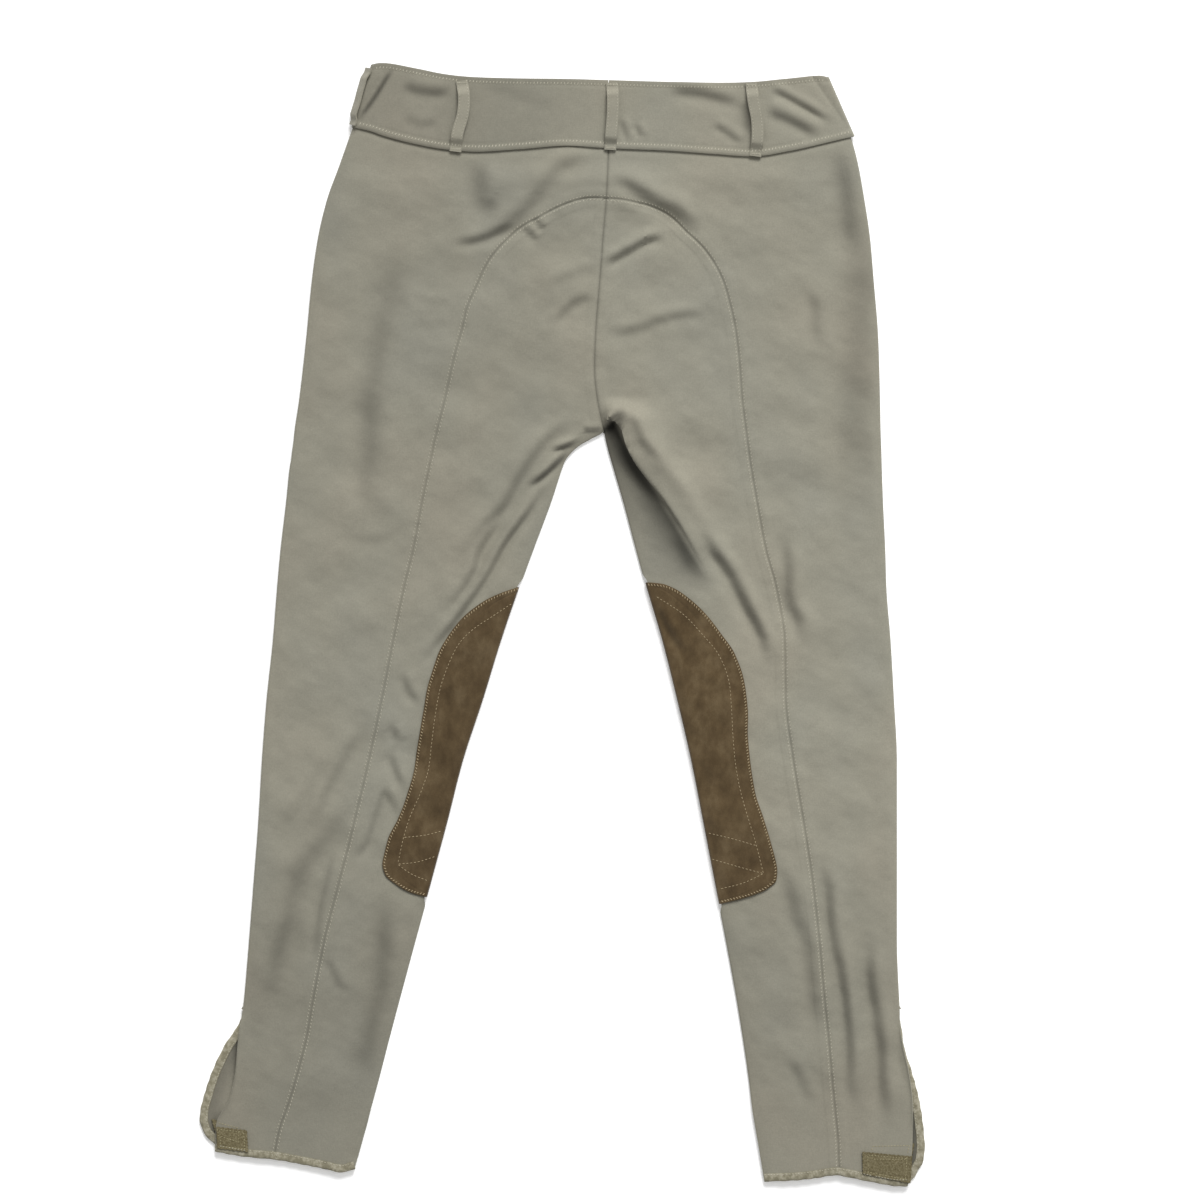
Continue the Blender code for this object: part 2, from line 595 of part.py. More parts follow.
def build_leg(side):
    leg = LegShape(side)
    panel, seat = leg.grids()
    first_fold = len(leg.front_outline(0)) - 1
    last_fold = first_fold + FOLD_STEPS

    def in_vent(row, column):
        return row >= leg.vent_first and first_fold <= column < last_fold
    sheet(f"front_{side.name}", panel, CLOTH, "breeches_cloth", in_vent)
    sheet(f"seat_{side.name}", seat, CLOTH, "breeches_cloth")
    waistband(leg, panel[0], first_fold, last_fold)
    knee_patch(leg, panel, seat)
    flap_edge = [row[first_fold] for row in panel[leg.vent_first + 1:]]
    binding(f"hem_tape_front_{side.name}", flap_edge + panel[-1][:first_fold][::-1], side.inward)
    binding(f"hem_tape_back_{side.name}", panel[-1][last_fold:] + seat[-1][1:], side.inward)


def main():
    for obj in list(bpy.data.objects):
        bpy.data.objects.remove(obj, do_unlink=True)
    bpy.context.scene.collection.children.link(PARTS)
    build_leg(Side("left", 1, LEFT_LEGS, LEFT_VENTS, LEFT_UPPERS, LEFT_PATCHES, LEFT_HEM, -298, []))
    build_leg(Side("right", -1, RIGHT_LEGS, RIGHT_VENTS, RIGHT_UPPERS, RIGHT_PATCHES, RIGHT_HEM, 300, [-452]))
    fly_flap()
    for loop in LOOPS:
        belt_loop(loop)
    for piece in STRIPS:
        strip(piece.name, piece.corners, piece.level)


PARTS = bpy.data.collections.new("riding_breeches")
main()
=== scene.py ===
"""Looks of the riding breeches, which lie flat with their back side up.

The tables are in millimetres in the part's own frame: +Y from the hems to the waist, X across,
Z = 0 the surface that they lie on.  Every height and outline is worked out in millimetres, and
sheet() and Sewing.join() turn them into metres.
"""
import math
from collections import namedtuple

import bpy
import numpy as np
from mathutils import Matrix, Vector
from mathutils.bvhtree import BVHTree


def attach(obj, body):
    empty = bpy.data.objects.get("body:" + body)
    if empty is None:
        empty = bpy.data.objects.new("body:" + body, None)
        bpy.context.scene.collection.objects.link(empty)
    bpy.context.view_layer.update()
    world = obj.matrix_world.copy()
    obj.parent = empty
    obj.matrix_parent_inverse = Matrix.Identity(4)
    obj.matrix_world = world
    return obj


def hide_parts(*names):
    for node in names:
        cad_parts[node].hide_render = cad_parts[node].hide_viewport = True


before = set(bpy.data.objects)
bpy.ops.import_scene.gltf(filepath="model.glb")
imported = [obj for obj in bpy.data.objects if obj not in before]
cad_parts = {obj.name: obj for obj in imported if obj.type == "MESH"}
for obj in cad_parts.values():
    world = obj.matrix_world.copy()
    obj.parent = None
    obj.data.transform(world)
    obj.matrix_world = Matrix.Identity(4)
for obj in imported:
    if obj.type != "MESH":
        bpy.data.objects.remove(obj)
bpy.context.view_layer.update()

MM = 0.001

# ---------------------------------------------------------------- sizes

CLOTH = 1.0
SUEDE = 1.3
BAND = 2.0
TAPE = 0.8
TAB = 1.2
LOOP = 1.3
GAP = 0.3

FRONT_REST = 0.6           # middle of the front layer where it lies on the floor
FRONT_OVER_PATCH = 2.4
FRONT_OVER_FLY = 2.1
FRONT_AT_HEM = 1.9
FRONT_AT_WAIST = 1.2
FRONT_OVER_LOOP = 3.0
BAND_OVERLAP = 3.9
BACK_LEVEL = 4.9           # middle of the back layer away from folds
BACK_AT_WAIST = 7.0
BACK_AT_HEM = 5.0
LAYER_STEP = 1.25          # least distance between the layers' middles
FOLD_TOP = 3.4             # where the outer fold runs into the back layer
FOLD_TOP_AT_WAIST = 5.4
FOLD_REACH = 1.7           # how far the fold swings out
EDGE_ROUND = 17.0          # the back layer comes down to the inseam over this width
FOLD_ROUND = 9.0           # and to the outer side over this one
BAND_LEAN = {"left": 16.0, "right": 19.0}   # how far the top of the band leans in at each side
BAND_FLARE = {"left": 0.5, "right": 3.0}    # how far its lower edge stands out there

CENTRE_FRONT = 34.0
CROTCH = (36.0, 166.0)
VENT_TOP = -330.0
OVERLAP_LENGTH = 38.0
LAP_END = CENTRE_FRONT + OVERLAP_LENGTH
FRONT_LOOP_X = 208.0       # where the loop under the right front lies
FLY_TOP = 397.0
FLY_WIDTH = 32.0
FLY_LENGTH = 160.0
SEAM_TRIM = 0.2
PATCH_INSET = 2.2
TAPE_INSET = 1.3
TAPE_REACH = 5.6
TAPE_TUCK = 6.0            # the flap's tape starts this far under the leg
TAPE_TUCK_LENGTH = 5.0     # and comes out over about this length
LOOP_WIDTH = 10.0
LOOP_ARCH = 3.4
ROW_STEP = 2.6

CENTRE_BACK_SEAM = 409.0   # heights where the waist seams cross the centre back and the centre front
CENTRE_FRONT_SEAM = 398.0
CENTRE_FRONT_TOP = 454.0
FRONT_CORNER = 350.0       # centre-front height of the row that meets the arch's top at the back

BESIDE_SEAM = 1.9          # where the stitches run, beside the lines that they follow
INSIDE_RIM = 1.6
BAND_TOP_STITCHES = -4.0
BAND_LOW_STITCHES = 3.9
BESIDE_LOOP = 3.7
INSIDE_TAB = 0.78          # a tab's stitches run round it at this share of its size
# Spacing and length of the stitches, how far each turns across its line in degrees, and its width
SEAM_STITCH = (3.0, 1.8, 40, 0.62)
EDGE_STITCH = (2.6, 2.2, 55, 0.8)
PATCH_STITCH = (3.3, 2.1, 0, 0.6)
BAND_STITCH = (2.9, 2.5, 72, 0.8)
LOOP_STITCH = (2.8, 1.6, 0, 0.5)
TACK_STITCH = (1.0, 1.6, 75, 0.55)
TAPE_STITCH = (2.6, 1.8, 0, 0.55)
TAB_STITCH = (2.6, 1.9, 0, 0.55)
TACK_LENGTH = 8.0          # of the rows that hold a belt loop's ends
STEEPEST = 1.0             # a stitch whose ends differ more than this in height would bridge a step
HIGH_ABOVE = 50.0          # above everything that is sewn

Leg = namedtuple("Leg", "y outer seam inner")
Vent = namedtuple("Vent", "y flap back")
Patch = namedtuple("Patch", "y width")
Waist = namedtuple("Waist", "x top seam")
Crease = namedtuple("Crease", "width step shade path")


def table(kind, rows):
    return [kind(*row) for row in rows]


LEGS = {
    "left": table(Leg, [(470, -167, 40, 34), (427, -180, 40, 34), (395, -191, 39, 34), (365, -202, 10, 34),
        (331, -210, -46, 34), (296, -215, -70, 34), (245, -220, -89, 34), (193, -226, -100, 34),
        (166, -230, -107.5, 35.5), (161, -230.5, -108.5, 28), (156, -231, -110, 18), (150, -232, -111, 10),
        (141, -233, -113, 2.6), (136, -234, -114, 0.5), (107, -237, -120, -9), (64, -242, -128, -25),
        (31, -245, -136, -37), (-13, -248.5, -145, -52), (-65, -254, -155, -68), (-117, -258, -166, -85),
        (-168, -261, -178, -98), (-220, -265, -191, -112), (-271, -269, -204, -126),
        (-323, -273.5, -214, -140), (-357, -278, -220, -149), (-392, -282, -229, -158),
        (-418, -292, -237, -165), (-435, -296, -243, -170), (-475, -300, -250, -182)]),
    "right": table(Leg, [(470, 233, 40, 34), (427, 246, 40, 34), (395, 254.5, 39, 34), (365, 260, 50, 34),
        (331, 265, 113, 34), (296, 268, 138, 34), (245, 272, 149, 34), (193, 273.5, 154.5, 34),
        (166, 274, 158, 36.5), (150, 274.6, 160, 40), (136, 275, 162, 44), (107, 276, 167, 52.5),
        (64, 278, 175, 64), (31, 279, 184, 73), (-13, 282.5, 191, 86), (-65, 285.5, 192, 99),
        (-117, 288, 198.5, 111), (-168, 288, 207, 121), (-220, 288, 215, 131), (-271, 288, 221, 141),
        (-323, 290, 225.5, 150.5), (-357, 292.4, 229, 156), (-392, 299, 232, 161),
        (-418, 301.5, 234.5, 164), (-445, 301, 237, 168.5), (-485, 298, 238.5, 175)])}
VENTS = {
    "left": table(Vent, [(-330, -274, -274), (-345, -279, -276.5), (-362, -290, -278.5),
        (-385, -301, -280.5), (-408, -308.5, -286), (-419, -311, -292), (-426, -311.5, -296),
        (-433, -310, -297.5), (-440, -307, -298), (-448, -299, -298), (-452, -294, -298)]),
    "right": table(Vent, [(-330, 290, 290), (-345, 292, 290.5), (-362, 294, 293), (-385, 301, 298),
        (-408, 307, 301), (-426, 310, 301.5), (-450, 312, 301), (-461, 311, 300), (-469, 307, 299),
        (-476, 303, 298), (-482, 297, 297)])}
ARCHES = {
    "left": [(38, 366), (24, 366.5), (10, 363.5), (-4, 358), (-21, 349), (-34, 342), (-46, 332), (-58, 319),
        (-67, 305), (-74, 289), (-82, 271), (-86, 253), (-89, 243), (-95, 219), (-101, 192), (-107.5, 166)],
    "right": [(38, 366), (50, 365), (63, 362.5), (77, 359), (93, 351), (106, 338), (119, 326), (129, 313),
        (138, 296), (144, 276), (149, 253), (152, 228), (155, 189), (158, 166)]}
CENTRE_BACK = [(40, 409), (38, 366), (35, 330), (33, 303), (31, 279), (29, 253), (28, 215), (31, 189),
    (36, 166)]
PATCHES = {
    "left": table(Patch, [(32, 1), (27, 14), (20, 26), (3, 41), (-11, 47), (-27, 50.5), (-50, 51),
        (-73, 48), (-103, 43), (-130, 39.5), (-148, 40.5), (-167, 43), (-185, 47), (-203, 46.5), (-215, 41),
        (-223, 30), (-230, 16), (-234, 1)]),
    "right": table(Patch, [(36, 1), (34, 17), (23, 33), (7, 45), (-8, 52), (-25, 59), (-45, 61.5),
        (-71, 59), (-98, 53), (-126, 50), (-144, 49.5), (-167, 52.5), (-187, 54.7), (-207, 56),
        (-219, 53.5), (-227, 44), (-234, 26), (-240, 1)])}
BACK_WAIST = table(Waist, [(-180, 480, 427), (-165, 483, 424), (-154, 482.5, 420), (-123, 477, 412),
    (-100, 472.5, 408), (-74, 470, 406), (-38, 469, 408), (4, 468.5, 411), (40, 467.5, 409), (89, 466, 407),
    (131, 465, 404), (163, 466, 402), (196, 469, 407), (230, 472, 415), (251, 470, 420)])
FRONT_WAIST = table(Waist, [(-185, 481, 428), (-100, 466, 408), (34, 454, 398), (150, 462, 406),
    (255, 470, 420)])
HEMS = {
    "left": [(-312, -450), (-298, -453), (-273, -457.5), (-247, -460), (-224, -464), (-204, -468),
        (-189, -471), (-178, -468)],
    "right": [(172, -479), (198, -478), (218, -476), (235, -473.5), (250, -476), (270, -480), (290, -483),
        (312, -483)]}
HEM_BEND = -400.0          # rows start to follow the hem's curve below this

# Creases of the back layer: width, height of the step, how much painted shade it lays on the cloth, and its
# route
CREASES = [
    # seat
    (7, 3.6, 0.07, [(30, 398), (-1, 392), (-17, 376), (-32, 356), (-50, 342), (-77, 331)]),
    (4, 2.3, 0.13, [(-40, 347), (-60, 335), (-78, 330), (-94, 331)]),
    (6.5, 4.6, 0.12, [(42, 390), (59, 378), (77, 367), (96, 356), (112, 343), (120, 334)]),
    (8, 2.6, 0.22, [(-70, 401), (-69, 380), (-64, 362), (-49, 357)]),
    (4, 4.8, 0.1, [(34, 308), (58, 322), (77, 332), (92, 333)]),
    (5, 1.5, 0.03, [(-14, 289), (-4, 296), (14, 303), (34, 306)]),
    (4.5, 1.8, 0.04, [(-10, 256), (-1, 266), (12, 278), (30, 284)]),
    (4.5, 2.2, 0.04, [(36, 250), (63, 254), (82, 262), (108, 266), (130, 266)]),
    # tucks beside the arch of the left seam
    (3, 2.2, 0.09, [(-34, 343), (-19, 330)]),
    (3, 1.9, 0.08, [(-25, 350), (-13, 339)]),
    # left hip
    (4, 0.6, 0.02, [(-130, 285), (-112, 277), (-94, 282)]),
    (4, 0.4, 0.02, [(-127, 261), (-108, 257), (-92, 264)]),
    (5, 0.5, 0.02, [(-126, 239), (-106, 234), (-88, 239)]),
    # left thigh
    (11, 3, 0.15, [(-136, 334), (-145, 285), (-154, 239), (-163, 199), (-163, 155), (-160, 112), (-145, 97),
        (-130, 91)]),
    (5, 0.6, 0.03, [(-198, 80), (-170, 73), (-138, 78)]),
    # round the crotch
    (2.8, 4, 0.4, [(6, 150), (-4, 140), (-16, 129), (-31, 117)]),
    (2.6, 3.4, 0.4, [(-9, 150), (2, 153), (14, 157)]),
    (2.4, 1.6, 0.4, [(17, 167), (26, 167), (36, 168)]),
    (5.5, 3.4, 0.08, [(21, 176), (-7, 165), (-26, 143), (-40, 123), (-51, 104), (-64, 91), (-77, 74),
        (-92, 50)]),
    (3.8, 4.2, 0.14, [(-5, 126), (-20, 111), (-34, 91), (-48, 72), (-62, 47), (-79, 22), (-100, -6),
        (-127, -38)]),
    (4.5, 3.4, 0.1, [(-50, 96), (-71, 65), (-77, 45), (-89, 26), (-102, 8)]),
    (9, 3.2, 0.1, [(46, 172), (57, 147), (71, 126), (83, 105), (95, 85), (107, 64), (120, 43), (134, 24)]),
    (3, 1.4, 0.6, [(36, 167), (42, 173), (50, 181), (58, 172)]),
    (4, 1, 0.02, [(66, 163), (74, 152), (86, 141)]),
    # right thigh
    (5.5, 5.2, 0.26, [(122, 82), (132, 64), (139, 54), (146, 42), (151, 32), (158, 20), (166, 4),
        (173, -14), (178, -37)]),
    (6, 3.6, 0.2, [(193, 80), (195, 45), (197, 18), (205, 2), (205, -20)]),
    (5, 2.4, 0.12, [(77, 20), (93, -4), (109, -27)]),
    # right outer side
    (15, 2, 0.2, [(259, 360), (261, 300), (258, 230), (254, 180), (258, 90)]),
    (6, 1.8, 0.12, [(216, 290), (219, 262), (221, 236)]),
    (6, 0.4, 0.02, [(243, 216), (271, 189)]),
    # right calf
    (5.5, 4.2, 0.17, [(222, -196), (230, -228), (231, -246), (236, -279), (241, -299), (244, -323),
        (248, -356), (249, -392), (255, -428)]),
    (5.5, 3.8, 0.19, [(267, -262), (268, -312), (272, -334), (275, -362), (277, -402), (279, -440)]),
    (7, 2.7, 0.12, [(187, -198), (197, -224), (202, -252), (210, -266), (214, -290), (217, -323),
        (219, -362)]),
    (5, 1, 0.05, [(195, -370), (206, -392), (219, -415)]),
    # left calf
    (9, 3.6, 0.18, [(-180, -140), (-204, -181), (-226, -209), (-240, -260), (-251, -311), (-262, -355)]),
    (6, 2.6, 0.09, [(-172, -82), (-190, -120), (-205, -150), (-220, -186)]),
    (6, 1, 0.04, [(-188, -96), (-214, -135), (-246, -182)]),
    (4, 2.4, 0.08, [(-191, -185), (-200, -218), (-207, -245), (-213, -295)]),
    (4, 2.6, 0.09, [(-153, -136), (-160, -166), (-169, -190), (-181, -201)]),
    (4.5, 1.4, 0.05, [(-203, -283), (-194, -300), (-185, -318)]),
    (10, 2.6, 0.2, [(-146, -226), (-150, -275), (-156, -319), (-167, -362), (-175, -408)]),
    # beside the left knee patch
    (4, 1.8, 0.08, [(-135, -40), (-131, -56), (-121, -68)]),
    (4, 1.9, 0.08, [(-145, -86), (-140, -102)]),
    (4, 2, 0.06, [(-147, -108), (-142, -125), (-135, -142)]),
    (4, 1.5, 0.03, [(-152, -140), (-145, -153), (-138, -164)]),
    # right hip
    (9, 2.2, 0.3, [(238, 412), (243, 385), (248, 350), (254, 312)]),
    # waistband
    (4.5, 0.9, 0.05, [(-140, 437), (-122, 431), (-104, 433)]),
    (5, 2.2, 0.16, [(-148, 464), (-118, 459), (-92, 459)]),
    (6, 0.5, 0.03, [(-74, 462), (-45, 459), (-20, 450), (6, 445)]),
    (3, 1.3, 0.1, [(51, 436), (55, 425), (59, 414)]),
    (3, 1.3, 0.1, [(64, 431), (70, 418)]),
    (5, 2.7, 0.2, [(88, 459), (125, 456), (158, 447)]),
    (5, 2, 0.36, [(157, 452), (160, 437), (161, 418)]),
    (3.5, 1.8, 0.14, [(130, 432), (144, 422), (156, 412)]),
    (3.6, 3, 0.2, [(180, 460), (198, 455), (216, 446), (236, 432)]),
    (5.5, 2.8, 0.24, [(174, 442), (198, 435), (216, 425), (224, 418)]),
    (2.4, 0.6, 0.5, [(-158, 480), (-163, 468), (-169, 452), (-178, 430)])]
ROLL_EDGE = [(39, 172), (45, 179), (53, 175), (60, 155), (66, 142), (76, 127), (88, 111), (103, 86),
    (116, 62), (128, 40), (138, 25)]
# Where the painted shadow in the hollow under the crotch fold is darkest
HOLLOW = [(43, 177), (48, 163), (56, 148), (70, 127), (82, 106), (94, 86), (106, 65), (119, 44), (133, 25)]
ROLL_HEIGHT = 13.0         # the fold beside the crotch stands this high above the cloth below it
ROLL_LEAN = 7.0            # and its lip leans this far over it
ROLL_HOLLOW = 3.0          # the cloth under its lip dips by this much
UPHILL = (0.25, 1.0)       # each crease is higher on the side that lies this way
VENT_LIFT = 3.0            # the back layer's free edge stands off the flap of the ankle slit

LOOPS = {
    "back_left": [(-86, 467), (-84, 453), (-85, 438), (-89.5, 422), (-91.5, 406)],
    "back_centre": [(43, 465.5), (43.8, 453), (43.6, 437), (42.4, 422), (41.5, 407.5)],
    "back_right": [(162.5, 465.5), (164.5, 449), (167.5, 433), (167.8, 416), (166, 402)],
    "front_left": [(-166, 478), (-169, 466), (-172.5, 453), (-176, 441), (-180, 429)],
    "front_right": [(206, 466), (208, 452), (209.5, 440), (211, 426), (212, 413)]}
BAND_TOP = BACK_AT_WAIST + 0.5 + BAND / 2 + LOOP / 2 + 0.1
SIDE_LOOP_LEVEL = 6.9
SIDE_LOOP_ARCH = 2.4
SIDE_LOOP_TILT = math.radians(60)

TABS = {
    "ankle_tab_left": [(-297, -431.5), (-270.5, -434.5), (-269.5, -453), (-296, -450)],
    "ankle_tab_right": [(258, -453), (301, -457), (299.5, -480), (258.5, -472)],
    "flap_strip_left": [(-301, -425), (-275, -432), (-275, -447), (-297, -440)],
    "flap_strip_right": [(262, -447), (303, -446), (300, -461), (262, -461)]}

# Sewn lines on the knee patches, besides the one that edges them
PATCH_LINES = {
    "left": [
        [(-43, 18), (-58, 8), (-76, -4), (-88, -16), (-96, -31), (-104, -53), (-109, -79), (-112, -103),
         (-115, -126), (-122, -146), (-130, -164), (-136, -183), (-141, -206)],
        [(-136, -183), (-118, -181), (-101, -177)], [(-141, -206), (-124, -204), (-108, -199)],
        [(-141, -206), (-130, -214), (-116, -220)]],
    "right": [
        [(81, 24), (105, 8), (120, -8), (134, -25), (143, -47), (145.5, -71), (147, -98), (149.5, -123),
         (154, -146), (161, -170), (167, -190), (173, -214)],
        [(167, -190), (146, -184), (125, -179)], [(173, -214), (151, -208), (130, -202)],
        [(173, -214), (156, -222), (137, -227)]]}


# ---------------------------------------------------------------- curves

def ease(value):
    """0 below 0, 1 above 1, eased between."""
    t = np.clip(value, 0.0, 1.0)
    return t * t * (3 - 2 * t)


class Curve:
    """A smooth function through a table's points; steady keeps it from overshooting them."""

    def __init__(self, xs, ys, steady=True):
        order = np.argsort(xs)
        self.xs = np.asarray(xs, float)[order]
        self.ys = np.asarray(ys, float)[order]
        slopes = np.diff(self.ys) / np.diff(self.xs)
        before, after = slopes[:-1], slopes[1:]
        if steady:
            total = np.where(before * after > 0, before + after, 1.0)
            middle = np.where(before * after > 0, 2 * before * after / total, 0.0)
        else:
            middle = (before + after) / 2
        self.tangents = np.concatenate([slopes[:1], middle, slopes[-1:]])

    def __call__(self, x):
        x = np.clip(x, self.xs[0], self.xs[-1])
        i = np.clip(np.searchsorted(self.xs, x, side="right") - 1, 0, len(self.xs) - 2)
        h = self.xs[i + 1] - self.xs[i]
        t = (x - self.xs[i]) / h
        return (self.ys[i] * (1 + 2 * t) * (1 - t) ** 2 + h * self.tangents[i] * t * (1 - t) ** 2
                + self.ys[i + 1] * t * t * (3 - 2 * t) - h * self.tangents[i + 1] * t * t * (1 - t))


def rounded(share):
    """From 0 to 1 the way a quarter of a circle rises: steeply first, level at last."""
    t = np.clip(share, 0, 1)
    return np.sqrt(np.clip(1 - (1 - t) ** 2, 0, 1))


def mix(start, end, share):
    return start + (end - start) * share


def column(rows, key, value):
    """One column of a table as a smooth function of another."""
    return Curve([getattr(row, key) for row in rows], [getattr(row, value) for row in rows])


def distances(points):
    """Length along a line up to each of its points."""
    return np.concatenate([[0], np.cumsum(np.hypot(*np.diff(points, axis=0)[:, :2].T))])


def even_path(points, count):
    """The same line with that many evenly spaced points."""
    along = distances(points)
    at = np.linspace(0, along[-1], count)
    return np.stack([np.interp(at, along, points[:, k]) for k in range(points.shape[1])], axis=1)


def smooth_path(points, count):
    """That many points, evenly spaced, on a smooth curve through the given ones."""
    points = np.asarray(points, float)
    along = distances(points)
    fine = np.linspace(0, along[-1], 20 * len(points))
    curve = [Curve(along, points[:, k], steady=False)(fine) for k in (0, 1)]
    return even_path(np.stack(curve, axis=1), count)


def directions(points):
    """The way that a line runs at each of its points."""
    run = np.gradient(points, axis=0)
    return run / np.hypot(run[:, 0], run[:, 1])[:, None]


def offset_path(points, distance):
    """A line moved to the left of its direction."""
    run = directions(points)
    return points + np.reshape(distance, (-1, 1)) * np.stack([-run[:, 1], run[:, 0]], axis=1)


def near_path(x, y, path):
    """For each point: distance from a line, the side (above zero to its left) and the share along it."""
    best = np.full(x.shape, 1e9)
    side = np.zeros(x.shape)
    share = np.zeros(x.shape)
    starts = distances(path)
    for (x0, y0), (x1, y1), start, end in zip(path, path[1:], starts, starts[1:]):
        dx, dy, length = x1 - x0, y1 - y0, end - start
        t = np.clip(((x - x0) * dx + (y - y0) * dy) / (length * length), 0, 1)
        away = np.hypot(x - x0 - t * dx, y - y0 - t * dy)
        closer = away < best
        best = np.where(closer, away, best)
        side = np.where(closer, np.sign(dx * (y - y0) - dy * (x - x0)), side)
        share = np.where(closer, (start + t * length) / starts[-1], share)
    return best, side, share


def beside_path(x, y, path):
    """For each point: distance from a line, above zero to its left, and the share along it."""
    away, side, share = near_path(x, y, path)
    return away * side, share


def ripple(x, y, seed, length, height):
    """Slow uneven waves of about that length and height."""
    random = np.random.default_rng(seed)
    total = np.zeros(x.shape)
    for _ in range(14):
        angle = random.uniform(0, 2 * math.pi)
        wave = 2 * math.pi / (length * random.uniform(0.6, 1.7))
        total += np.sin(wave * (x * math.cos(angle) + y * math.sin(angle)) + random.uniform(0, 6.3))
    return height * total / math.sqrt(14)


def crease_relief(x, y):
    """Height that the creases add at each point, and the painted shade that they lay on the cloth."""
    height, shade = np.zeros(x.shape), np.zeros(x.shape)
    for crease in CREASE_PATHS:
        path, reach = crease.path, 3.2 * crease.width
        low, high = path.min(axis=0) - reach, path.max(axis=0) + reach
        near = (x > low[0]) & (x < high[0]) & (y > low[1]) & (y < high[1])
        if not near.any():
            continue
        aside, share = beside_path(x[near], y[near], path)
        run = path[-1] - path[0]
        uphill = 1 if -run[1] * UPHILL[0] + run[0] * UPHILL[1] > 0 else -1
        across = aside * uphill / crease.width + ripple(x[near], y[near], 41, 60, 0.13)
        taper = ease(share / 0.25) * ease((1 - share) / 0.3) * (1 + ripple(x[near], y[near], 43, 90, 0.14))
        height[near] += crease.step * taper * across * np.exp(-across ** 2 / 2)
        # painted shade along each crease, centred just on its low side
        shade[near] += crease.shade * taper * np.exp(-(across + 0.2) ** 2)
    return height, shade


def seam_relief(away, along):
    """Groove, seam allowance and puckers beside a sewn line."""
    groove = -0.6 * np.exp(-(away / 1.1) ** 2)
    allowance = 0.3 * ease((away - 0.6) / 1.6) * ease((9.5 - away) / 2.5)
    pucker = 0.10 * np.exp(-(away / 7) ** 2) * (np.sin(along / 1.15) + 0.6 * np.sin(along / 2.3 + 1))
    return groove + allowance + pucker


# ---------------------------------------------------------------- the shape of a leg

CENTRE_LINE = Curve([p[1] for p in CENTRE_BACK], [p[0] for p in CENTRE_BACK])
BACK_TOP, BACK_SEAM = column(BACK_WAIST, "x", "top"), column(BACK_WAIST, "x", "seam")
FRONT_TOP, FRONT_SEAM = column(FRONT_WAIST, "x", "top"), column(FRONT_WAIST, "x", "seam")
CREASE_PATHS = [Crease(width, step, shade, smooth_path(route, 4 * len(route)))
                for width, step, shade, route in CREASES]
ROLL_PATH = smooth_path(ROLL_EDGE, 40)
HOLLOW_PATH = smooth_path(HOLLOW, 40)
CENTRE_PATH = smooth_path(CENTRE_BACK, 30)
CORNER = 366.0             # height of the arch on the centre back
ARCH_ROWS = 90


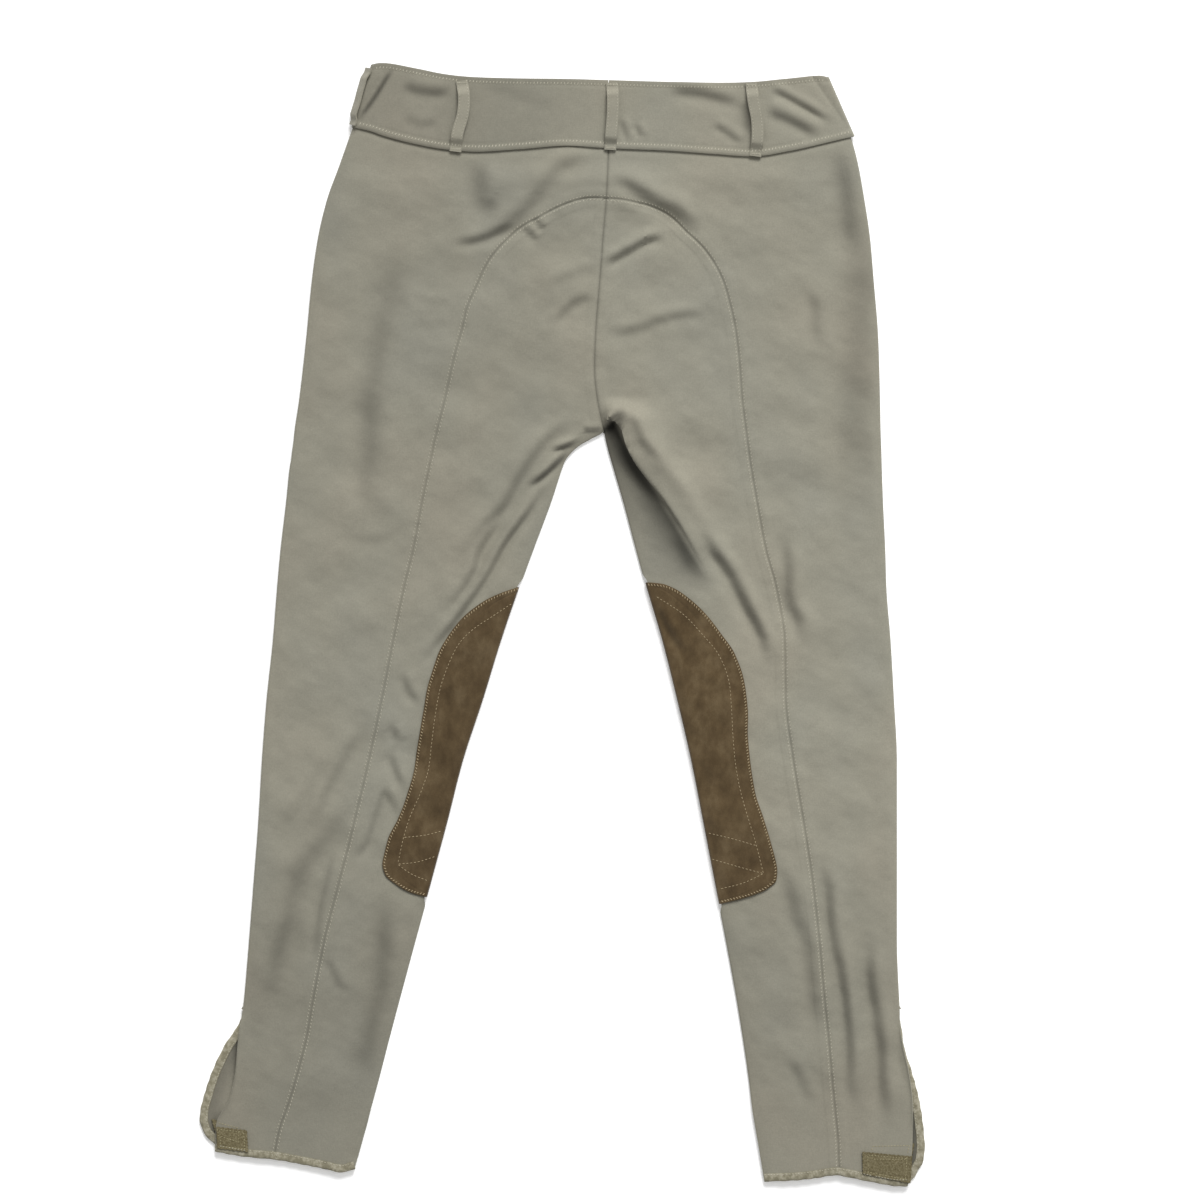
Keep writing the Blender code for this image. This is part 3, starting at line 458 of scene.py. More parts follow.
class LegShape:
    """Outlines and heights of one leg and its half of the seat."""

    def __init__(self, name):
        self.name = name
        self.inward = 1 if name == "left" else -1
        rows, vents = LEGS[name], VENTS[name]
        self.outer = column(rows, "y", "outer")
        self.seam = column(rows, "y", "seam")
        self.inner = column(rows, "y", "inner")
        self.flap = column(vents, "y", "flap")
        self.vent = column(vents, "y", "back")
        self.patch_width = column(PATCHES[name], "y", "width")
        self.patch_top, self.patch_end = PATCHES[name][0].y, PATCHES[name][-1].y
        self.hem = Curve([p[0] for p in HEMS[name]], [p[1] for p in HEMS[name]])
        self.hem_level = float(np.mean([p[1] for p in HEMS[name]]))
        ys = np.arange(CROTCH[1], self.hem_level, -4.0)
        self.inseam = np.stack([self.inner(ys), ys], axis=1)
        arch = smooth_path(ARCHES[name], ARCH_ROWS)
        self.low_rows = np.arange(CROTCH[1] - ROW_STEP, self.hem_level - 0.1, -ROW_STEP)
        low = np.arange(CROTCH[1] - ROW_STEP, self.hem_level - 20, -ROW_STEP)
        self.back_seam = np.concatenate([arch, np.stack([self.seam(low), low], axis=1)])

    def in_patch(self, y):
        """1 along the knee patch, 0 away from it, eased over a few millimetres."""
        return ease((self.patch_top + 8 - y) / 8) * ease((y - self.patch_end + 8) / 8)

    def face_up(self, grid):
        """A grid that starts at the centre front or the seam, turned so that its faces point upwards."""
        return grid[:, ::-1] if self.inward > 0 else grid

    def inner_edge(self, y):
        return self.inner(y) - self.inward * PATCH_INSET * self.in_patch(y)

    def fold_start(self, y):
        return self.outer(y) + self.inward * (CLOTH / 2 + FOLD_REACH)

    def to_hem(self, x, y, inset):
        """Rows near the hem take its curve, and the last one stops short of it."""
        share = np.clip((HEM_BEND - y) / (HEM_BEND - self.hem_level), 0, 1)
        return np.where(y < HEM_BEND, HEM_BEND + share * (self.hem(x) + inset - HEM_BEND), y)

    def front_height(self, x, y):
        """Middle of the front layer, which lies on the floor or on what is under it."""
        inside = (self.inner(y) - x) * self.inward
        height = FRONT_REST + np.clip(ripple(x, y, 21, 55, 0.35), 0, 0.7) * ease((inside - 20) / 25)
        width = np.where((y < self.patch_top) & (y > self.patch_end), self.patch_width(y), 0)
        over_patch = ease((width + 16 - inside) / 13) * self.in_patch(y) * (y < CROTCH[1])
        levels = [(FRONT_OVER_PATCH, over_patch), (FRONT_AT_HEM, ease((-385 - y) / 40)),
                  (FRONT_AT_WAIST, ease((y - 380) / 20))]
        if self.name == "left":
            over_fly = ease((x - (CENTRE_FRONT - FLY_WIDTH - 14)) / 12)
            over_fly *= ease((y - (CENTRE_FRONT_SEAM - FLY_LENGTH) + 14) / 12)
            levels += [(FRONT_OVER_FLY, over_fly)]
        else:
            near_loop = ease((28 - np.abs(x - FRONT_LOOP_X)) / 14) * ease((y - 396) / 14)
            near_lap = ease((LAP_END + 16 - x) / 12) * ease((y - 378) / 16)
            levels += [(FRONT_OVER_LOOP, near_loop), (BAND_OVERLAP, near_lap)]
        for level, share in levels:
            height = np.maximum(height, mix(FRONT_REST, level, share))
        return height

    def back_height(self, x, y):
        """Middle of the back layer, with its folds, seams and rounded edges."""
        near_waist = ease((y - 330) / 75)
        height = mix(BACK_LEVEL, BACK_AT_WAIST, near_waist)
        height = height + (BACK_AT_HEM - BACK_LEVEL) * ease((-395 - y) / 30)
        folds, _ = crease_relief(x, y)
        away_inner, _, _ = near_path(x, y, self.inseam)
        away_outer = np.abs(x - self.outer(y))
        calm = ease(np.minimum(away_inner, away_outer) / 9)
        soft = ease((y + 430) / 50) * ease((400 - y) / 20)
        waves = ripple(x, y, 5, 75, 0.9) + ripple(x, y, 8, 30, 0.3) + ripple(x, y, 12, 14, 0.11)
        crown = 2.6 * (1 - np.exp(-np.minimum(away_inner, away_outer) / 40))
        height = height + (folds + crown * soft) * (0.4 + 0.6 * calm) + waves * calm * (0.3 + 0.7 * soft)

        # Down to the inseam, and into the fold at the outer side
        low_edge = self.front_height(self.inner(np.minimum(y, CROTCH[1])), y) + LAYER_STEP
        height = mix(low_edge, height, rounded(away_inner / EDGE_ROUND))
        at_vent = ease((VENT_TOP - y) / 12)
        top_of_fold = mix(FOLD_TOP, FOLD_TOP_AT_WAIST, near_waist)
        lifted = VENT_LIFT * ease((VENT_TOP - y) / 25) * ease((y + 442) / 25)
        top_of_fold = mix(top_of_fold, FRONT_AT_HEM + LAYER_STEP + 0.9 + lifted, at_vent)
        edge = self.outer(y) * (1 - at_vent) + self.vent(y) * at_vent
        height = mix(top_of_fold, height, rounded(np.abs(x - edge) / FOLD_ROUND))
        height = height + self.roll_height(x, y) * ease(away_inner / 4)
        return np.maximum(height, self.front_height(x, y) + LAYER_STEP)

    def roll_height(self, x, y):
        """The fold that stands beside the crotch of the right leg, and the hollow under it."""
        if self.name == "left":
            return np.zeros(x.shape)
        across, share = beside_path(x, y, ROLL_PATH)
        crest = 8 + 9 * np.clip(share / 0.3, 0, 1)
        rise = ease((across + 2.5) / 3.6) * (0.55 + 0.45 * np.exp(-((across - crest) / 8) ** 2))
        rise = rise * np.exp(-np.clip(across - crest, 0, None) ** 2 / (2 * 11.0 ** 2))
        rise = rise * (1 - ease(share)) * ease((197 - y) / 22) * ease((x - CENTRE_LINE(y)) / 14)
        hollow = np.exp(-((across + 9) / 8) ** 2) * (1 - ease(share)) * (y < 176)
        return ROLL_HEIGHT * rise - ROLL_HOLLOW * hollow

    def lean(self, points):
        """Moves the lip of that fold over the cloth below it."""
        if self.name == "left":
            return points
        across, share = beside_path(points[..., 0], points[..., 1], ROLL_PATH)
        push = ROLL_LEAN * np.exp(-((across - 1.2) / 2.6) ** 2) * (1 - ease(share / 0.9)) * ease(share / 0.06)
        points = points.copy()
        points[..., 0] -= push * 0.80
        points[..., 1] -= push * 0.55
        return points

    def seams(self, x, y):
        """What the sewn lines add to the back layer's height."""
        away, _, share = near_path(x, y, self.back_seam[::3])
        total = seam_relief(away, share * 1000)
        away, _, share = near_path(x, y, CENTRE_PATH)
        total += 0.8 * seam_relief(away, share * 250)
        below_band = BACK_SEAM(x) - y
        return total - 0.9 * np.exp(-(below_band / 3.5) ** 2)

    def shade(self, x, y):
        """How much painted shade darkens the back layer: in creases, along seams, and towards the left and
        the ankle.
        """
        to_seam, _, _ = near_path(x, y, self.back_seam[::3])
        to_centre, _, _ = near_path(x, y, CENTRE_PATH)
        # painted shade in the grooves of the back seam and the centre-back seam
        beside_seam = 0.16 * np.exp(-(to_seam / 0.9) ** 2) + 0.3 * np.exp(-(to_centre / 1.2) ** 2)
        # a painted shadow under the lower edge of the waistband
        below_band = 0.15 * np.exp(-((BACK_SEAM(x) - y) / 2.5) ** 2) * (y < BACK_SEAM(x))
        # a broad painted shade where the light falls off: towards the left, twice as much on the band, and
        # towards the ankles
        on_band = ease((BACK_SEAM(x) - 2 - y) / -4)
        broad = 0.08 * ease((60 - x) / 110) * (1 + on_band) + 0.14 * ease((-130 - y) / 190)
        shade = crease_relief(x, y)[1] + broad + beside_seam + below_band
        if self.name == "right":
            # painted shadow in the hollow under the lip of the crotch fold: sharp on the fold's side, fading
            # slowly towards the inseam
            across, share = beside_path(x, y, HOLLOW_PATH)
            hollow_shadow = (0.84 - 0.42 * share) * ease(share / 0.05) * ease((1 - share) / 0.22)
            shade = shade + hollow_shadow * np.exp(-(across / np.where(across < 0, 28 - 6 * share, 3.4)) ** 2)
        return np.clip(shade, 0, 0.93)

    def back_surface(self, points):
        """Points of the back layer: places across the plan, with their heights and painted shade."""
        x, y = points[..., 0], points[..., 1]
        height = self.back_height(x, y) + self.seams(x, y)
        return np.concatenate([self.lean(points), height[..., None], self.shade(x, y)[..., None]], axis=-1)


# ---------------------------------------------------------------- materials

def linear(red, green, blue):
    """A colour from 0 to 255 a channel, as a screen shows it, in Blender's own scale."""
    values = [v / 255 for v in (red, green, blue)]
    return (*[v / 12.92 if v <= 0.04045 else ((v + 0.055) / 1.055) ** 2.4 for v in values], 1.0)


def grey(value):
    return (value, value, value, 1.0)


class Finish:
    """A material under construction: nodes are added and joined by short calls."""

    def __init__(self, name, roughness, sheen=0.0):
        self.material = bpy.data.materials.new(name)
        self.material.use_nodes = True
        self.tree = self.material.node_tree
        self.shader = self.tree.nodes["Principled BSDF"]
        self.fill(self.shader, {"Roughness": roughness, "Specular IOR Level": 0.2, "Sheen Weight": sheen,
                                "Sheen Roughness": 0.5})
        self.place = self.node("ShaderNodeTexCoord", {}).outputs["Object"]

    def fill(self, node, inputs):
        """Joins each input to another node's output, or sets it to a plain value."""
        for key, value in inputs.items():
            if isinstance(value, bpy.types.NodeSocket):
                self.tree.links.new(value, node.inputs[key])
            else:
                node.inputs[key].default_value = value

    def node(self, kind, inputs, **settings):
        made = self.tree.nodes.new(kind)
        for key, value in settings.items():
            setattr(made, key, value)
        self.fill(made, inputs)
        return made

    def stretched(self, scale, turn=0.0):
        """The piece's own coordinates, scaled along each axis."""
        inputs = {"Vector": self.place, "Scale": scale, "Rotation": (0, 0, turn)}
        return self.node("ShaderNodeMapping", inputs).outputs["Vector"]

    def noise(self, scale, detail=2.0, rough=0.5):
        inputs = {"Vector": self.stretched(scale), "Scale": 1.0, "Detail": detail, "Roughness": rough}
        return self.node("ShaderNodeTexNoise", inputs).outputs["Fac"]

    def bands(self, scale, turn, distortion):
        inputs = {"Vector": self.stretched((1, 1, 1), turn), "Scale": scale, "Distortion": distortion}
        return self.node("ShaderNodeTexWave", inputs).outputs["Fac"]

    def ramp(self, value, *stops):
        """Each stop is a position, then a screen colour's three channels or one plain strength."""
        made = self.node("ShaderNodeValToRGB", {"Fac": value})
        elements = made.color_ramp.elements
        while len(elements) < len(stops):
            elements.new(0.5)
        for element, (position, *colour) in zip(elements, stops):
            element.position = position
            element.color = linear(*colour) if len(colour) == 3 else grey(colour[0])
        return made.outputs["Color"]

    def mix(self, share, a, b, way="MIX"):
        inputs = {0: share, 6: a, 7: b}
        return self.node("ShaderNodeMix", inputs, data_type="RGBA", blend_type=way).outputs[2]

    def times(self, colour, other):
        return self.mix(1.0, colour, other, "MULTIPLY")

    def shaded(self, colour):
        """The colour, darkened by the painted shade that the sheet's points carry."""
        shade = self.node("ShaderNodeAttribute", {}, attribute_name="shade").outputs["Fac"]
        return self.times(colour, self.ramp(shade, (0.0, 1.0), (1.0, 0.0)))

    def math(self, way, a, b):
        return self.node("ShaderNodeMath", {0: a, 1: b}, operation=way).outputs[0]

    def finish(self, colour, height=None, strength=0.3, distance=0.0003):
        self.fill(self.shader, {"Base Color": colour})
        if height is not None:
            bump = self.node("ShaderNodeBump", {"Strength": strength, "Distance": distance, "Height": height})
            self.fill(self.shader, {"Normal": bump.outputs["Normal"]})
        return self.material


def breeches_cloth():
    """Fine khaki-olive stretch twill, a little greyer in some places and warmer in others."""
    made = Finish("breeches_cloth", 0.85, 0.10)
    broad = made.noise((9, 6, 9), 2.0)
    base = made.ramp(broad, (0.32, 146, 144, 131), (0.5, 148.5, 145.5, 131), (0.68, 150.5, 146, 131))
    threads = made.mix(0.5, made.noise((1400, 480, 300), 2.0), made.noise((520, 1500, 300), 2.0))
    # painted shade from the sheets' creases, seams and hollows darkens the cloth
    colour = made.shaded(made.times(base, made.ramp(threads, (0.36, 0.88), (0.64, 1.0))))
    worn = made.noise((90, 130, 90), 5.0, 0.68)
    colour = made.times(colour, made.ramp(worn, (0.3, 0.93), (0.7, 1.0)))
    twill = made.bands(420, math.radians(58), 1.2)
    height = made.math("ADD", made.math("MULTIPLY", twill, 0.5), threads)
    height = made.math("ADD", height, made.math("MULTIPLY", worn, 1.6))
    return made.finish(colour, height, 0.45)


def patch_suede():
    """Brown suede with a brushed, mottled nap."""
    made = Finish("patch_suede", 0.95, 0.2)
    nap = made.noise((70, 45, 60), 4.0, 0.6)
    base = made.ramp(nap, (0.32, 74, 59, 37), (0.5, 88, 72, 48), (0.68, 103, 87, 62))
    fibres = made.noise((1300, 900, 900), 3.0, 0.7)
    # painted shade from the creases that cross the patch darkens the suede
    colour = made.shaded(made.times(base, made.ramp(fibres, (0.3, 0.80), (0.7, 1.0))))
    return made.finish(colour, fibres, 0.5)


def hem_tape():
    """Ribbed elastic tape, speckled light and dark."""
    made = Finish("hem_tape", 0.8)
    speckle = made.noise((240, 240, 240), 3.0, 0.6)
    base = made.ramp(speckle, (0.36, 122, 117, 98), (0.5, 140, 135, 116), (0.64, 161, 156, 138))
    ribs = made.bands(260, 0.0, 0.6)
    return made.finish(base, made.math("ADD", ribs, speckle), 0.5)


def fastening_tape():
    """Olive-brown hook-and-loop tape."""
    made = Finish("fastening_tape", 0.9)
    loops = made.noise((700, 700, 700), 3.0, 0.7)
    base = made.ramp(loops, (0.34, 84, 76, 53), (0.5, 103, 95, 70), (0.66, 123, 115, 90))
    return made.finish(base, loops, 0.8, 0.0005)


def thread(name, *colour):
    """Sewing thread, with a twist of lighter and darker ply."""
    made = Finish(name, 0.7)
    ply = made.noise((1200, 1200, 1200), 1.0)
    return made.finish(made.ramp(ply, (0.35, *[channel - 22 for channel in colour]), (0.65, *colour)))


# ---------------------------------------------------------------- building

def add_object(name, data):
    made = bpy.data.objects.new(name, data)
    bpy.context.scene.collection.objects.link(made)
    return made


def quads(rows, columns):
    """Faces of a grid, with the row and column that each starts from."""
    row, column = np.meshgrid(np.arange(rows - 1), np.arange(columns - 1), indexing="ij")
    row, column = row.ravel(), column.ravel()
    first = row * columns + column
    return np.stack([first, first + 1, first + columns + 1, first + columns], axis=1), row, column


def cut_size(grid):
    """Width across, length along and area of the cloth that a grid of points was cut from, in metres."""
    flat = grid[..., :3]
    across = np.linalg.norm(np.diff(flat, axis=1), axis=2).sum(axis=1).max() * MM
    along = np.linalg.norm(np.diff(flat, axis=0), axis=2).sum(axis=0).max() * MM
    a = flat[1:, :-1] - flat[:-1, :-1]
    b = flat[:-1, 1:] - flat[:-1, :-1]
    area = np.linalg.norm(np.cross(a, b), axis=2).sum() * MM * MM
    return max(across, 0.01), max(along, 0.01), area


def sheet(name, grid, wall, slot, nodes, on, keep=None, held="laid"):
    """A cloth sheet: rows of points in millimetres, walled by Solidify and declared with its cut."""
    grid = np.asarray(grid, float)
    rows, columns = grid.shape[:2]
    faces, row, column = quads(rows, columns)
    if keep is not None:
        faces = faces[keep(row, column)]
    used = np.unique(faces)
    renumber = np.full(rows * columns, -1)
    renumber[used] = np.arange(len(used))
    mesh = bpy.data.meshes.new(name)
    points = grid.reshape(rows * columns, -1)[used]
    mesh.from_pydata((points[:, :3] * MM).tolist(), [], renumber[faces].tolist())
    # a fourth value at each point is painted shade, kept in the mesh as the shade attribute
    if points.shape[1] > 3:
        shade = mesh.attributes.new("shade", "FLOAT", "POINT")
        shade.data.foreach_set("value", points[:, 3].astype(np.float32))
    mesh.materials.append(FINISHES[slot])
    obj = add_object(name, mesh)
    wall_maker = obj.modifiers.new("Wall", "SOLIDIFY")
    wall_maker.thickness = wall * MM
    wall_maker.offset = 0.0
    bpy.ops.object.select_all(action="DESELECT")
    bpy.context.view_layer.objects.active = obj
    obj.select_set(True)
    bpy.ops.object.modifier_apply(modifier="Wall")
    for vertex in obj.data.vertices:
        vertex.co.z = max(vertex.co.z, 0.0)
    obj.data.shade_smooth()
    obj.data.set_sharp_from_angle(angle=math.radians(50))
    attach(obj, "root")
    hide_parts(*nodes)
    width, length, area = cut_size(grid)
    PIECES.append((obj, width, length, area, held, on))


PIECES = []
SEAM_CROWD = np.array((0.7, 1.5, 2.6, 4.2, 6.4, 9.0))    # rows have points this far from a seam
FRONT_SHARES = np.concatenate([np.linspace(0, 0.06, 5)[:-1], np.linspace(0.06, 0.94, 36),
                               np.linspace(0.94, 1, 5)[1:]])
BAND_SHARES = np.concatenate([[0, 0.01, 0.025, 0.05], np.linspace(0.08, 0.92, 26), [0.95, 0.975, 0.99, 1.0]])
PATCH_SHARES = np.concatenate([[0, 0.012, 0.03, 0.06, 0.1], np.linspace(0.15, 0.9, 22), [0.95, 0.98, 1.0]])
APPROACH = 15.0            # rows swell upwards over about this length before they meet the arch
APPROACH_RISE = 12.0       # and by this much
WAIST_ROWS = 34            # rows that take something of the waist seam's curve
FOLD_COLUMNS = 8
PATCH_TURN_COLUMNS = 7
BACK_COLUMNS = 56
SEAT_COLUMNS = 96
SEAT_FIRST = 9             # the seat's first row runs along the arch from here to the centre back
PATCH_ROWS = 170
BAND_FRONT_COLUMNS = 60
BAND_BACK_COLUMNS = 110
LOOP_ROWS = 60
OUTER_CORNER = {"left": 384.0, "right": 386.0}    # outer side's height on the row of the arch's top
WAIST_CORNER = {"left": -180.0, "right": 246.0}   # and where the waist seam meets the outer side


def crowd_end(count, across):
    """Shares of a row that crowd together over the last few millimetres."""
    tail = 1 - SEAM_CROWD[::-1] / across
    return np.concatenate([np.linspace(0, tail[0], count - len(tail))[:-1], tail, [1.0]])


def crowd_both(count, across):
    """Shares of a row that crowd together at both ends."""
    close = SEAM_CROWD[:5] / across
    if close[-1] > 0.3:
        return np.linspace(0, 1, count)
    middle = np.linspace(close[-1], 1 - close[-1], count - 2 * len(close))
    return np.concatenate([[0], close[:-1], middle, 1 - close[-2::-1], [1]])


def half_turn(start, end, reach, count):
    """Columns of points that swing from one edge round to another, and by reach along X on the way."""
    angle = math.pi * np.arange(1, count + 1) / (count + 1)
    points = start[..., None, :] + (end - start)[..., None, :] * (1 - np.cos(angle))[:, None] / 2
    points[..., 0] += reach * np.sin(angle)
    return points


def approach(start, end, shares, rise):
    """A row that swells upwards near its end, to meet a level seam from above."""
    row = mix(start, end, shares[:, None])
    back = np.hypot(*(row - end).T) / APPROACH
    row[:, 1] += rise * back * np.exp(1 - back)
    return row


def to_waist(row, seam, first, last, fade):
    """Bends a level or sloping row towards the curve of the waist seam."""
    share = (row[:, 0] - row[0, 0]) / (row[-1, 0] - row[0, 0])
    row[:, 1] += fade * (seam(row[:, 0]) - mix(first, last, share))


def wrap_rows(leg):
    """Outer side's y, seam point, rise beside it and centre-front y of each row above the crotch."""
    rows = []
    corner_outer = OUTER_CORNER[leg.name]
    start_outer = float(BACK_SEAM(WAIST_CORNER[leg.name]))
    for t in np.linspace(0, 1, 21)[:-1]:
        seam_y = mix(CENTRE_BACK_SEAM, CORNER, t)
        end = np.array([float(CENTRE_LINE(seam_y)) - leg.inward * SEAM_TRIM, seam_y])
        rows.append((mix(start_outer, corner_outer, t), end, APPROACH_RISE * t,
                     mix(CENTRE_FRONT_SEAM, FRONT_CORNER, t)))
    arch = offset_path(leg.back_seam[:ARCH_ROWS + 1], -leg.inward * SEAM_TRIM)[:ARCH_ROWS]
    along = distances(arch)
    for k, end in enumerate(arch):
        t = k / (ARCH_ROWS - 1)
        rise = APPROACH_RISE * math.exp(-along[k] / 20)
        rows.append((mix(corner_outer, CROTCH[1], t), end, rise, mix(FRONT_CORNER, CROTCH[1], t)))
    return rows


def wrap_panel(leg):
    """Front panel: centre front, over the floor, round the outer side and up to the back seam."""
    upper = wrap_rows(leg)
    low_seam = offset_path(leg.back_seam, -leg.inward * SEAM_TRIM)[ARCH_ROWS:]
    seam_x = Curve(low_seam[:, 1], low_seam[:, 0])
    ys = [row[0] for row in upper] + list(leg.low_rows) + [leg.hem_level]
    vent_from = next(k for k, y in enumerate(ys) if y < VENT_TOP)
    fronts, backs = [], []
    for k, y in enumerate(ys):
        vented = k >= vent_from
        flap = float(leg.flap(leg.to_hem(leg.flap(y), y, 0))) + leg.inward * TAPE_INSET
        vent = float(leg.vent(leg.to_hem(leg.vent(y), y, 0)))
        front_edge = flap if vented else float(leg.fold_start(y))
        back_edge = vent if vented else float(leg.fold_start(y))
        if k < len(upper):
            front_start = np.array([CENTRE_FRONT - leg.inward * SEAM_TRIM, upper[k][3]])
            end, rise = upper[k][1], upper[k][2]
        else:
            front_start = np.array([float(leg.inner_edge(y)), y])
            end, rise = np.array([float(seam_x(y)), y]), 0.0
        front = mix(front_start, np.array([front_edge, y]), FRONT_SHARES[:, None])
        start = np.array([back_edge, y])
        back = approach(start, end, crowd_end(BACK_COLUMNS, abs(end[0] - start[0])), rise)
        fade = 1 - ease(k / WAIST_ROWS)
        if fade > 0:
            to_waist(front, FRONT_SEAM, CENTRE_FRONT_SEAM, ys[0], fade)
            to_waist(back, BACK_SEAM, ys[0], CENTRE_BACK_SEAM, fade)
        if y < HEM_BEND:
            front[:, 1] = leg.to_hem(front[:, 0], front[:, 1], TAPE_INSET)
            back[:, 1] = leg.to_hem(back[:, 0], back[:, 1], TAPE_INSET)
        fronts.append(front)
        backs.append(back)

    fronts, backs = np.array(fronts), leg.back_surface(np.array(backs))
    height = leg.front_height(fronts[..., 0], fronts[..., 1])
    near_flap = np.abs(fronts[..., 0] - fronts[:, -1:, 0])
    at_flap = ease((24 - near_flap) / 16) * ease((VENT_TOP - fronts[..., 1]) / 15)
    height = np.maximum(height, mix(FRONT_REST, FRONT_AT_HEM, at_flap))
    # painted shadow on the flap's inner face, deepest beside the free edge of the back layer
    to_leg = (fronts[..., 0] - backs[:, :1, 0]) * leg.inward
    shade = 0.42 * at_flap + 0.3 * ease((to_leg + 7) / 8) * at_flap
    shade = shade * ease((VENT_TOP - fronts[..., 1]) / 5)
    fronts = np.concatenate([fronts, height[..., None], shade[..., None]], axis=2)
    fold = half_turn(fronts[:, -1], backs[:, 0], -leg.inward * FOLD_REACH, FOLD_COLUMNS)
    whole = np.concatenate([fronts, fold, backs], axis=1)
    first, last = fronts.shape[1] - 1, fronts.shape[1] + FOLD_COLUMNS

    def keep(row, column):
        return ~((row >= vent_from) & (column >= first) & (column < last))
    if leg.inward > 0:
        whole = whole[:, ::-1]
        first, last = whole.shape[1] - 1 - last, whole.shape[1] - 1 - first
    sheet(f"front_panel_{leg.name}", whole, CLOTH, "breeches_cloth", [f"front_{leg.name}"],
          ["floor"], keep, "folded")
    return fronts, backs, vent_from


def seat_row(start, x, y):
    """A row of the seat panel from a point of the back seam to a place on its other edge."""
    return mix(start, np.array([x, y]), crowd_both(SEAT_COLUMNS, abs(x - start[0]))[:, None])


def seat_panel(leg):
    """Back panel between the back seam, the centre back and the inseam."""
    seam = offset_path(leg.back_seam, leg.inward * SEAM_TRIM)
    seam_x = Curve(seam[ARCH_ROWS:, 1], seam[ARCH_ROWS:, 0])
    start = seam[SEAT_FIRST::-1].copy()
    start[-1] = (float(CENTRE_LINE(CORNER)) - leg.inward * SEAM_TRIM, start[-1][1] - 0.3)
    rows = [even_path(start, SEAT_COLUMNS)]
    count = ARCH_ROWS - SEAT_FIRST - 1
    for k in range(1, count + 1):
        y = CORNER + (CROTCH[1] - CORNER) * k / count
        rows.append(seat_row(seam[SEAT_FIRST + k], float(CENTRE_LINE(y)) - leg.inward * SEAM_TRIM, y))
    for y in list(leg.low_rows) + [leg.hem_level]:
        row = seat_row(np.array([float(seam_x(y)), y]), float(leg.inner_edge(y)), y)
        row[:, 1] = leg.to_hem(row[:, 0], row[:, 1], TAPE_INSET)
        rows.append(row)
    grid = leg.back_surface(np.array(rows))
    sheet(f"seat_panel_{leg.name}", leg.face_up(grid), CLOTH, "breeches_cloth", [f"seat_{leg.name}"],
          [f"front_panel_{leg.name}"])
    return grid


def knee_patch(leg):
    """Suede round the inseam: one limb on the seat panel, one under the front panel."""
    ys = np.linspace(leg.patch_top, leg.patch_end, 400)
    outline = np.stack([leg.inner(ys) - leg.inward * leg.patch_width(ys), ys], axis=1)
    ys = even_path(outline, PATCH_ROWS)[:, 1]
    edge = leg.inner_edge(ys)
    rim = leg.inner(ys) - leg.inward * np.maximum(leg.patch_width(ys), PATCH_INSET + 0.3)
    x = mix(rim[:, None], edge[:, None], PATCH_SHARES)
    y = np.repeat(ys[:, None], len(PATCH_SHARES), axis=1)
    top = leg.back_surface(np.stack([x, y], axis=2))
    from_rim = np.abs(x - rim[:, None])
    bead = 0.25 * ease(from_rim / 2.0) - 0.35 * np.exp(-((from_rim - 11.5) / 0.8) ** 2)
    top[..., 2] += CLOTH / 2 + GAP / 2 + SUEDE / 2 + 0.1 + bead + ripple(x, y, 31, 14, 0.07)
    under = np.stack([x, y, np.full(x.shape, SUEDE / 2), np.zeros(x.shape)], axis=2)[:, ::-1]
    below = top[:, -1].copy()
    below[:, 2] = SUEDE / 2
    turn = half_turn(top[:, -1], below, leg.inward * (PATCH_INSET - SUEDE / 2), PATCH_TURN_COLUMNS)
    whole = leg.face_up(np.concatenate([top, turn, under], axis=1))
    sheet(f"suede_patch_{leg.name}", whole, SUEDE, "patch_suede", [f"knee_patch_{leg.name}"],
          [f"seat_panel_{leg.name}"], held="folded")
    return np.stack([rim, ys], axis=1)


def band_profile(share, height):
    """How the band swells and dips between its lower edge (0) and its top (1)."""
    up = share * height
    ridge = 0.55 * ease(up / 1.2) * ease((5.2 - up) / 1.2)
    groove = -0.45 * np.exp(-((up - 5.0) / 0.9) ** 2) - 0.45 * np.exp(-((height - up - 4.0) / 0.9) ** 2)
    return ridge + groove + 0.15 * ease((4.0 - (height - up)) / 1.5)


